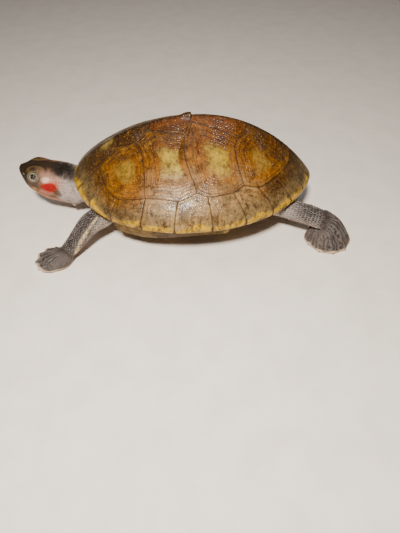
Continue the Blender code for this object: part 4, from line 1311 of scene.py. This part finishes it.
def dress_limb(name, tone, place, part, foot, toes):
    """Pale rim and dark rays of the feet, and the marks of the limbs on her left."""
    x, z = place[..., 0], place[..., 2]
    cloud, fine = clouds(place, (0.004, 111), (0.0012, 113))
    edge = smooth(*((1.665, 1.695) if name[0] == "f" else (1.7, 1.725)), part + 0.012 * cloud)
    rim = np.maximum(smooth(0.0024, 0.0016, z), edge) * foot
    inner = foot * (1.0 - rim)
    around = turns(part.shape[1], -math.pi)
    rays = np.abs(np.sin(around * 17.0 + 1.3 * fine + 1.8 * cloud)) ** 3
    tone = paint(
        tone,
        ((0.78, 0.6, 0.43), 0.88 * rim * smooth(-0.4, 0.3, cloud + 0.3)),
        ((0.15, 0.115, 0.095), 0.4 * smooth(0.35, 0.0, toes + 0.35 * fine) * inner),
        ((0.33, 0.285, 0.265), 0.52 * rays * smooth(1.0, 1.2, part) * inner),
    )
    if name == "foreleg_left":
        line, y = ARM_STRIPE, place[..., 1]
        band = stripe(x, y, line, 0.0007, 0.75, 1.1 * fine + 0.5 * cloud) * (z > 0.0012)
        rearward = x - np.interp(-y, -line[:, 1], line[:, 0])
        axil = smooth(0.0012, 0.004, rearward + 0.001 * cloud) * (1.0 - foot)
        tone = paint(
            tone,
            ((0.06, 0.04, 0.026), 0.45 * stripe(x, y, line, 0.003, 0.5, 0.3 * cloud)),
            ((0.52, 0.425, 0.355), 0.62 * axil * smooth(0.85, 0.55, part)),
            ((0.78, 0.61, 0.39), 0.9 * band),
        )
    if name == "hindleg_left":
        tone = paint(
            tone,
            ((0.14, 0.085, 0.055), 0.55 * smooth(0.133, 0.1385, x + 0.001 * cloud) * foot),
            ((0.56, 0.47, 0.42), 0.55 * smooth(0.096, 0.084, x + 0.002 * cloud)),
        )
    return tone


TRUNK_INSET, TRUNK_DEPTH, TRUNK_RISE = 0.0072, 0.0043, 0.0057  # from rim, roof and belly


def trunk(flesh):
    """The body inside the shell, a little within the vault and the plastron."""
    angle = turns(300)[None]
    share = np.linspace(0.02, 1.0, 60)[:, None]
    inset = TRUNK_INSET + 0.006 * np.cos(angle) ** 2
    x, y, ex = ridge_point(angle, share, inset)
    side = rim_height(ex) - LIP - GAP
    out = np.minimum(1.0, np.abs(y) / np.maximum(half_width(x) - inset, 1e-4))
    under = rim_height(x) - TRUNK_DEPTH
    top = keel_height(x) - TRUNK_DEPTH
    above = np.maximum(side, under + (top - under) * flank(out) - 0.0006)
    low = BELLY_Z + TRUNK_RISE
    below = blend(low, side - 0.001, hull(angle, share, 0.58))
    below[-1] = (below[-1] + above[-1]) * 0.5
    over, beneath = np.stack([x, y, above], -1), np.stack([x, y, below], -1)
    sheet = np.concatenate([over[:-1], beneath[::-1]])
    fold = skin_folds(sheet, 0.003, 81, (0.5, 0.8, 0.2))
    sheet = sheet - grid_normals(sheet, True) * (0.0007 * (1.0 - fold) + 0.0002)[..., None]
    dark = 0.5 * smooth(0.0, 0.5, rough_noise(sheet, 0.008, 83))
    # Its crease value is painted shade in the grooves between the folds.
    flesh.add(sheet, paint((0.33, 0.26, 0.225), ((0.11, 0.08, 0.062), dark)), 0.7 * (1.0 - fold))


def foot_axes(side, heading):
    turn = math.radians(heading)
    ahead = np.array([-math.cos(turn), side * math.sin(turn), 0.0])
    return ahead, np.array([math.sin(turn), side * math.cos(turn), 0.0])


def foot_radius(angle, toes, fan_step, heel):
    """Reach of the webbed outline; also how near each angle is to a toe (1 on its line)."""
    marks = fan_step * (np.arange(len(toes)) - (len(toes) - 1) / 2.0)
    off = np.min(np.abs(angle[:, None] - marks), axis=1) / fan_step
    on_toe = np.cos(math.pi * np.minimum(0.5, off)) ** 2
    web = np.interp(angle, marks, toes) * (0.95 + 0.036 * on_toe)
    edge = marks[-1] + 0.5 * fan_step
    fade = smooth(edge, edge + 0.9, np.abs(angle))
    return blend(web, heel, fade), on_toe * (1.0 - fade), fade


def limb_sheet(name):
    """Rings down the leg, out over the webbed foot, round its edge and in under the sole."""
    side, path, (middle_x, middle_y, heading, toes, fan_step, heel, arch, fall), _ = LIMBS[name]
    fan_step = math.radians(fan_step)
    ahead, outward_way = foot_axes(side, heading)
    angle = turns(176, -math.pi)
    curve, where, along, across, face = spine(path, side)
    front = unit(ahead - along * (along @ ahead)[:, None])
    broad = np.cross(along, front)
    broad = broad * np.sign(broad[-1] @ outward_way)
    c, s = np.cos(angle)[:, None], np.sin(angle)[:, None]
    ray = front[:, None] * c + broad[:, None] * s
    over_w = np.einsum("rck,rk->rc", ray, across) / curve[:, None, 3]
    over_t = np.einsum("rck,rk->rc", ray, face) / curve[:, None, 4]
    leg = curve[:, None, :3] + ray / np.hypot(over_w, over_t)[..., None]
    outer = np.clip(over_t / np.hypot(over_w, over_t), -1.0, 1.0)
    radius, on_toe, fade = foot_radius(angle, toes, fan_step, heel)
    middle = np.array([middle_x, side * middle_y, 0.0])
    reach = middle + (ahead * c + outward_way * s) * radius[:, None]
    share, sharp = np.linspace(0.0, 1.0, 62)[1:, None], on_toe**1.6
    top = leg[-1] + (reach - leg[-1]) * share[..., None]
    webbing = (1.0 - sharp) * smooth(0.45, 0.95, share) * (1.0 - fade)
    z = blend(leg[-1, :, 2], WEB_HEIGHT, share**fall)
    z = z + sharp * arch * np.sin(math.pi * share * 0.85) * 1.15
    z = z + 0.00022 * np.sin(CIRCLE * share * 3.2 + 0.8) * sharp * smooth(0.25, 0.5, share)
    z = z - webbing * (0.0003 * np.abs(np.sin(angle / fan_step * CIRCLE)) + 0.0006)
    top[..., 2] = np.maximum(z, WEB_HEIGHT * 0.72)
    lower = []
    for drop, inset in SOLE_EDGE:
        ring = blend(reach, middle, inset)
        ring[:, 2] = np.minimum(WEB_HEIGHT * drop, top[-1, :, 2] * (drop + 0.02))
        lower.append(ring)
    for inset in np.linspace(0.16, 0.96, 16):
        ring = blend(reach, middle, inset)
        ring[:, 2] = 0.00022 * (lattice_noise(ring, 0.0022, 91) * 0.5 + 0.5)
        lower.append(ring)
    sheet = np.concatenate([leg, top, lower])
    length = np.concatenate([where, 1.0 + np.linspace(0.0, 1.0, len(sheet) - len(leg))])
    outer = np.concatenate([outer, np.tile(outer[-1], (len(sheet) - len(leg), 1))])
    return sheet, np.broadcast_to(length[:, None], outer.shape), outer, len(leg), on_toe


def limb(flesh, name):
    side, path = LIMBS[name][:2]
    sheet, part, outer, rows, on_toe = limb_sheet(name)
    normal = grid_normals(sheet, True)
    foot = smooth(0.92, 1.05, part)
    sole = (part > 1.0) & (sheet[..., 2] < 0.0012) & (normal[..., 2] < 0.2)
    way = unit((tenths(path[-1]) - tenths(path[0]))[:3] * [1.0, side, 1.0])
    wrinkle = 1.0 - skin_folds(sheet, 0.0024, 101 + len(name), way)
    elbow = bell(part, 0.45, 0.16) * smooth(0.3, -0.6, outer)
    cells = lattice_noise(sheet, 0.0008, 103)
    folds = wrinkle * (FOLD_DEPTH * (1.0 - foot) + ELBOW_DEPTH * elbow)
    push = PEBBLE_RELIEF * (cells - 1.0) - folds
    toes = np.zeros(part.shape)
    toes[rows:] = on_toe
    # Painted shade: wrinkle grooves, hollows between the pebbles, and the web sunk between the
    # toes.
    crease = np.clip(0.65 * wrinkle * (1.0 - foot) + 0.25 * smooth(0.2, 0.8, -cells), 0.0, 1.0)
    crease = np.maximum(crease, 0.28 * foot * (1.0 - toes) * smooth(1.1, 1.35, part))
    moved = sheet + normal * np.where(sole, 0.0, push)[..., None]
    moved[..., 2] = np.maximum(moved[..., 2], 0.0)
    tone = dress_limb(name, limb_tone(sheet, outer, part, foot), sheet, part, foot, toes)
    tone = np.where(sole[..., None], [0.3, 0.225, 0.18], tone)
    flesh.add(moved, tone, crease)
    return moved, normal, part, outer, rows, tone


def tail(flesh):
    curve, _, _, across, face = spine(TAIL_STATIONS, 1, 90)
    turn = turns(96)[:, None]
    wide, thick = across * curve[:, 3:4], face * curve[:, 4:]
    ring = wide[:, None] * np.cos(turn) + thick[:, None] * np.sin(turn)
    sheet = curve[:, None, :3] + ring
    wrinkle = 1.0 - skin_folds(sheet, 0.0016, 121, (0.6, 0.8, -0.2))
    sheet = sheet - unit(ring) * 0.0003 * wrinkle[..., None]
    # Its crease value is painted shade in the tail's wrinkle grooves.
    flesh.add(sheet, limb_tone(sheet, np.sin(turn[:, 0]), 0.6, 0.0), 0.7 * wrinkle)


# ------------------------------------------------------------------ eyes and claws
CORNEA_FACES, CORNEA_BULGE = (0.00012, 0.00003), 0.00016  # heights over the eyeball


def eyes():
    """Eyeball with a bowl-shaped iris and pupil, under a clear cornea."""
    lon = turns(96)
    lat = np.concatenate((np.linspace(0.02, 0.9, 44), np.linspace(0.95, 3.1, 26)))[:, None]
    iris, pupil = 0.98, 0.55
    dish = 1.0 - smooth(iris - 0.1, iris, lat)
    depth = EYE_RADIUS * np.cos(lat) - 0.0005 * (1.0 - smooth(pupil - 0.03, pupil + 0.01, lat))
    depth = depth - dish * (0.00042 + 0.45 * EYE_RADIUS * (np.cos(lat) - math.cos(iris)))
    depth = depth + 0.00003 * np.sin(lon * 31.0 + 2.0 * np.sin(lon * 7.0)) * bell(lat, 0.7, 0.2)
    width = EYE_RADIUS * np.sin(lat) * (1.0 - 0.25 * smooth(1.2, 1.65, lat))
    dome_lat = np.linspace(0.04, 1.06, 24)[:, None]
    dome = []
    for thick in CORNEA_FACES:
        radius = EYE_RADIUS + thick + CORNEA_BULGE * (1.0 - smooth(0.55, 0.98, dome_lat))
        dome.append((radius * np.sin(dome_lat), radius * np.cos(dome_lat)))
    for side, label in SIDES:
        centre, gaze, long, tall = eye_axes(side)

        def turned(reach, height):
            """Rings about the gaze from their radii and heights."""
            around = np.cos(lon)[:, None] * long + np.sin(lon)[:, None] * tall
            return centre + reach[..., None] * around + height[..., None] * gaze

        sheet = turned(width, depth)
        veins = smooth(-0.1, 0.5, rough_noise(sheet, 0.0006, 131))
        tone = paint(
            (0.3, 0.285, 0.19),
            ((0.62, 0.61, 0.44), 0.85 * bell(lat, pupil + 0.11, 0.09)),
            ((0.1, 0.08, 0.03), 0.7 * veins * smooth(0.68, 0.82, lat)),
            ((0.02, 0.014, 0.008), smooth(iris - 0.08, iris + 0.02, lat)),
            ((0.004, 0.003, 0.002), 1.0 - smooth(pupil - 0.02, pupil + 0.02, lat)),
        )
        tones = np.concatenate([tone.reshape(-1, 3), tone[[0, -1], 0]])
        ball = new_object(f"eyeball_{label}", *tube(sheet), EYE, "eye", tones)
        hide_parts(f"eye_{label}")
        outer, inner = (turned(*shape) for shape in dome)
        new_object(f"cornea_{label}", *tube(np.concatenate([outer, inner[::-1]])), CORNEA, "eye")


CLAW_LONG, CLAW_ROOT, CLAW_WIDE, CLAW_TIP = 0.0033, 0.0026, 0.0007, 0.00008
CLAW_HEIGHT, CLAW_ARCH, CLAW_FALL = 0.0015, 0.00042, 0.00115


def claws():
    """Curved pointed claws in place of the plain ones."""
    share = np.linspace(0.0, 1.0, 16)[:, None]
    turn = turns(20)
    wide = CLAW_WIDE * (1.0 - share**1.8) + CLAW_TIP
    tall = wide * 1.05
    height = CLAW_HEIGHT + CLAW_ARCH * np.sin(math.pi * share * 0.75) - CLAW_FALL * share**2
    height = np.maximum(height, tall + 0.00003)
    for name, (side, _, (middle_x, middle_y, heading, toes, fan_step, *_), count) in LIMBS.items():
        ahead, outward_way = foot_axes(side, heading)
        foot = name.replace("leg", "foot")
        for k in range(count):
            angle = math.radians(fan_step) * (k - (len(toes) - 1) / 2.0)
            way = ahead * math.cos(angle) + outward_way * math.sin(angle)
            reach = toes[k] - CLAW_ROOT + CLAW_LONG * share
            points = np.array([middle_x, side * middle_y, 0.0]) + way * reach[..., None]
            points = points + np.cross(UP, way) * (wide * np.cos(turn))[..., None]
            points[..., 2] = np.maximum(height + tall * np.sin(turn), FLOOR_CLEAR)
            made = new_object(f"{foot}_nail_{k + 1}", *tube(points), HORN, "claw_horn")
            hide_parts(f"{foot}_claw_{k + 1}")


# ------------------------------------------------------------------ scales over the skin
def sample(field, row, column):
    """Bilinear look-up in a wrapped grid at fractional rows and columns."""
    rows, columns = field.shape[:2]
    row = np.clip(row, 0.0, rows - 1.001)
    r, c = np.floor(row).astype(int), np.floor(column).astype(int)
    fr, fc = row - r, column - c
    if field.ndim == 3:
        fr, fc = fr[:, None], fc[:, None]
    near, far = (blend(field[k, c % columns], field[k, (c + 1) % columns], fc) for k in (r, r + 1))
    return blend(near, far, fr)


def lay_rows(sheet, start, end, pitch, width, keep):
    """Roots of scales in staggered rows; keep(row, column) thins them out."""
    run, columns = run_along(sheet).mean(1), sheet.shape[1]
    at, index, roots = run[start], 0, []
    while at < run[end]:
        row = np.interp(at, run, np.arange(len(run)))
        ring = sample(sheet, np.full(columns, row), np.arange(columns) * 1.0)
        around = run_along(np.concatenate([ring, ring[:1]]))
        count = max(6, int(around[-1] / width))
        marks = (np.arange(count) + 0.5 * (index % 2)) / count * around[-1]
        marks = marks + rng.uniform(-0.14, 0.14, count) * width
        column = np.interp(marks % around[-1], around, np.arange(columns + 1))
        roots.append(np.column_stack([row + rng.uniform(-0.16, 0.16, count), column]))
        at += pitch
        index += 1
    row, column = np.concatenate(roots).T
    kept = keep(row, column)
    return row[kept], column[kept]


# The rings of one scale: their share of its size and their height.
SCALE_RINGS = ((1.0, -0.75), (0.97, 0.3), (0.66, 0.92))
PATCH = 0.0014  # radius of a scale's patch in the OFBake map


def scales(name, skin, slot, roots, size, height, sides, pale=None, lean=0.6):
    """Solid overlapping scales on a sheet, with a patch each in the OFBake map.

    pale is the colour of their edges and its strength; without it the edges are a lighter
    shade of the skin."""
    sheet, normal, tone = skin
    row, column = roots
    count = len(row)
    root, up = sample(sheet, row, column), unit(sample(normal, row, column))
    ahead = sample(sheet, row + 1.2, column) - sample(sheet, np.maximum(row - 1.2, 0.0), column)
    ahead = unit(ahead - up * np.sum(ahead * up, axis=1, keepdims=True))
    across = np.cross(up, ahead)
    beside = sample(sheet, row, column + 0.5) - sample(sheet, row, column - 0.5)
    onward = sample(sheet, row + 0.6, column) - sample(sheet, row - 0.6, column)
    per_row = np.maximum(np.linalg.norm(onward, axis=1) / 1.2, 1e-6)
    per_column = np.maximum(np.linalg.norm(beside, axis=1), 1e-6)
    per_column = per_column * np.sign(np.sum(across * beside, axis=1))
    long, wide = size[0] * rng.uniform(0.84, 1.12, count), size[1] * rng.uniform(0.84, 1.12, count)
    turn = turns(sides) + rng.uniform(-0.2, 0.2, (count, 1))
    jag = 1.0 + rng.uniform(-0.1, 0.1, (count, sides))
    c, s = np.cos(turn) * jag, np.sin(turn) * jag
    vary = rng.uniform(0.72, 1.2, (count, 1))
    lift = height * rng.uniform(0.75, 1.2, count)
    rings, shades, patches = [], [], []
    for share, rise in SCALE_RINGS:
        fore, aside = c * share * long[:, None], s * share * wide[:, None]
        at_row = (row[:, None] + fore / per_row[:, None]).ravel()
        at_column = (column[:, None] + aside / per_column[:, None]).ravel()
        shades.append(sample(tone, at_row, at_column).reshape(count, sides, 3) * vary[..., None])
        high = lift[:, None] * (rise + (lean * 0.5 * c * share if rise > 0.0 else 0.0))
        steps = ((ahead, fore), (across, aside), (up, high))
        rings.append(root[:, None] + sum(axis[:, None] * by[..., None] for axis, by in steps))
        patches.append(np.stack([c, s], -1) * share * PATCH)
    tip = root + up * (lift * 1.05)[:, None] + ahead * (long * 0.06)[:, None]
    foot = root - up * (lift * 0.85)[:, None]
    points = np.concatenate(rings + [tip[:, None], foot[:, None]], 1)
    points[..., 2] = np.maximum(points[..., 2], FLOOR_CLEAR)
    per, ring = points.shape[1], np.arange(sides)
    quads = grid_faces(len(rings), sides, True)
    caps = [fan(per - 2, ring + 2 * sides), fan(per - 1, ring[::-1])]
    one = np.concatenate([quads[:, :3], quads[:, [0, 2, 3]], *caps])
    faces = (one + (np.arange(count) * per)[:, None, None]).reshape(-1, 3)
    middle = shades[2].mean(1)[:, None]
    skirt, edge, core = shades[0] * 0.55, np.clip(shades[1] * 1.3, 0.0, 0.9), 0.78
    if pale:
        colour, light = np.array(pale[0]), pale[1] * rng.uniform(0.35, 1.3, (count, 1, 1))
        skirt, edge = blend(skirt, colour, light), blend(shades[1], colour, light * 0.85)
        core = 0.55
    tones = np.concatenate([skirt, edge, shades[2] * core, middle * core, middle * 0.5], 1)
    made = new_object(name, points.reshape(-1, 3), [faces], SCALE_SKIN, slot,
                      np.clip(tones.reshape(-1, 3), 0.0, 1.0), crease=np.zeros(count * per))
    rows, columns = sheet.shape[:2]
    home = 0.02 + 0.96 * np.column_stack([column / columns, row / rows])
    patch = home[:, None] + np.concatenate(patches + [np.zeros((count, 2, 2))], 1)
    layer = made.data.uv_layers.new(name="OFBake")
    corner = np.zeros(len(made.data.loops), np.int32)
    made.data.loops.foreach_get("vertex_index", corner)
    layer.data.foreach_set("uv", patch.reshape(-1, 2)[corner].astype(np.float32).ravel())


def limb_scales(name, moved, normal, part, outer, rows, tone):
    """Broad lamellae down the front of the arm, pebbly scales elsewhere, finest on the foot."""
    fore, skin = name.startswith("fore"), (moved, normal, tone)
    last = int(np.searchsorted(part[:, 0], 1.66))
    first = int(rows * (0.3 if fore else 0.34))

    def share_of(row):
        return np.interp(row, np.arange(len(part)), part[:, 0])

    def open_skin(row, column):
        return (sample(normal, row, column)[:, 2] > -0.55) | (share_of(row) < 0.95)

    def broad(row, column):
        at = share_of(row)
        return (sample(outer, row, column) > (0.1 if fore else -0.15)) & (at > 0.26) & (at < 0.97)

    def small(row, column):
        return open_skin(row, column) & ~broad(row, column) & (share_of(row) < 0.98)

    def toe(row, column):
        return open_skin(row, column) & (share_of(row) >= 0.98)

    foot = name.replace("leg", "foot")
    wide, long = (0.0024, 0.0017) if fore else (0.0016, 0.0026)
    pale = ((0.64, 0.57, 0.54), 0.62 if fore else 0.85)
    plate_size, leg_size = (long * 0.6, wide * 0.53), (0.00068, 0.0007)
    foot_size, foot_pale = (0.00068, 0.00056), ((0.4, 0.345, 0.32), 0.42)
    lower, step = rows - 2, 0.00125
    # Name, where; first and last row, step down and round; size, height, sides, edges, lean.
    for made, where, rows_of, *look in (
        (f"{name}_lamellae", broad, (first, rows, long, wide), plate_size, 0.0003, 10, pale, 0.9),
        (f"{name}_pebbles", small, (first, rows, step, 0.0014), leg_size, 0.0002, 7, pale),
        (f"{foot}_pebbles", toe, (lower, last, step, 0.00122), foot_size, 0.00016, 7, foot_pale),
    ):
        scales(made, skin, "skin", lay_rows(moved, *rows_of, where), *look)


def head_scales(sheet, normal, tone):
    """Fine granules over the neck and the finest over the cheeks and crown."""
    skin = (sheet, normal, tone)
    face, first, last = np.searchsorted(sheet[:, 0, 0] - SNOUT_X, (0.0165, 0.0275, 0.054))

    def clear(row, column):
        """Thinned forwards, and kept off the eye and the mouth."""
        x, y, z = sample(sheet, row, column).T
        back = x - SNOUT_X
        away = np.hypot((back - EYE_BEHIND) / 0.0068, (z - EYE_Z - 0.0015) / 0.006)
        mouth = (np.abs(z - np.interp(back, *MOUTH.T)) < 0.0016) & (back < 0.0175)
        share = 0.1 + 0.84 * smooth(0.0165, 0.0225, back)
        return (away > 1.0) & ~mouth & (y != 0.0) & (rng.uniform(0.0, 1.0, len(row)) < share)

    def everywhere(row, column):
        return np.ones(len(row), bool)

    roots = lay_rows(sheet, first, last, 0.00086, 0.00092, everywhere)
    scales("neck_granules", skin, "skin", roots, (0.00043, 0.00047), 0.00013, 6, lean=0.4)
    roots = lay_rows(sheet, face, first, 0.00066, 0.00072, clear)
    scales("head_granules", skin, "head_skin", roots, (0.00033, 0.00037), 0.00007, 6, lean=0.3)


FLESH = Flesh()
trunk(FLESH)
HEAD_SHEET = head_and_neck(FLESH)
tail(FLESH)
LIMB_SHEETS = {name: limb(FLESH, name) for name in LIMBS}
FLESH.build()
eyes()
claws()
head_scales(*HEAD_SHEET)
for limb_name, sheets in LIMB_SHEETS.items():
    limb_scales(limb_name, *sheets)
base_shell()
scutes_of_the_back()
marginals()
plastron_bone()
plastron()

# ------------------------------------------------------------------ floor, light and camera
CAMERA_PLACE = (WIDEST_X + 0.0155, -0.2825, BELLY_Z + 0.2387)
CAMERA_DOWN = 50.0
PHOTO_WIDE, PHOTO_TALL, SENSOR = 400.0, 533.0, 36.0
LIGHTS = (
    ("key", (-0.03, -0.32, 0.45), (0.0, 0.0, 0.02), 0.06, 5.7, (1.0, 0.95, 0.875)),
    ("fill", (-0.05, 0.15, 0.95), (0.0, 0.0, 0.03), 0.7, 1.3, (1.0, 0.97, 0.93)),
)
FLOOR_REACH = 4.0
SKY_COLOUR, SKY_STRENGTH = (0.92, 0.95, 1.0, 1.0), 0.085


def studio():
    """A pale floor, two lamps, a faint sky and the camera of the photo."""
    surface = plain_material("floor_pale", (0.9, 0.81, 0.71), 0.7, 0.92, 40.0, 0.00002)
    mesh = bpy.data.meshes.new("floor")
    corners = ((-1, -1), (1, -1), (1, 1), (-1, 1))
    mesh.from_pydata([(x * FLOOR_REACH, y * FLOOR_REACH, 0.0) for x, y in corners], [], [range(4)])
    mesh.materials.append(surface)
    floor = bpy.data.objects.new("floor", mesh)
    link = bpy.context.scene.collection.objects.link
    link(floor)
    for name, place, aim, size, power, tint in LIGHTS:
        data = bpy.data.lights.new(name, "AREA")
        data.shape, data.size, data.energy, data.color = "DISK", size, power, tint
        lamp = bpy.data.objects.new(name, data)
        lamp.location = place
        lamp.rotation_euler = (Vector(aim) - Vector(place)).to_track_quat("-Z", "Y").to_euler()
        link(lamp)
    world = bpy.data.worlds.new("studio")
    world.use_nodes = True
    sky = world.node_tree.nodes["Background"]
    sky.inputs["Color"].default_value = SKY_COLOUR
    sky.inputs["Strength"].default_value = SKY_STRENGTH
    bpy.context.scene.world = world
    data = bpy.data.cameras.new("camera")
    data.lens = PHOTO_WIDE * SENSOR / PHOTO_TALL
    data.sensor_width = SENSOR
    data.clip_start = 0.01
    camera = bpy.data.objects.new("camera", data)
    camera.location = CAMERA_PLACE
    camera.rotation_euler = (math.radians(90.0 - CAMERA_DOWN), 0.0, 0.0)
    link(camera)
    bpy.context.scene.camera = camera


studio()
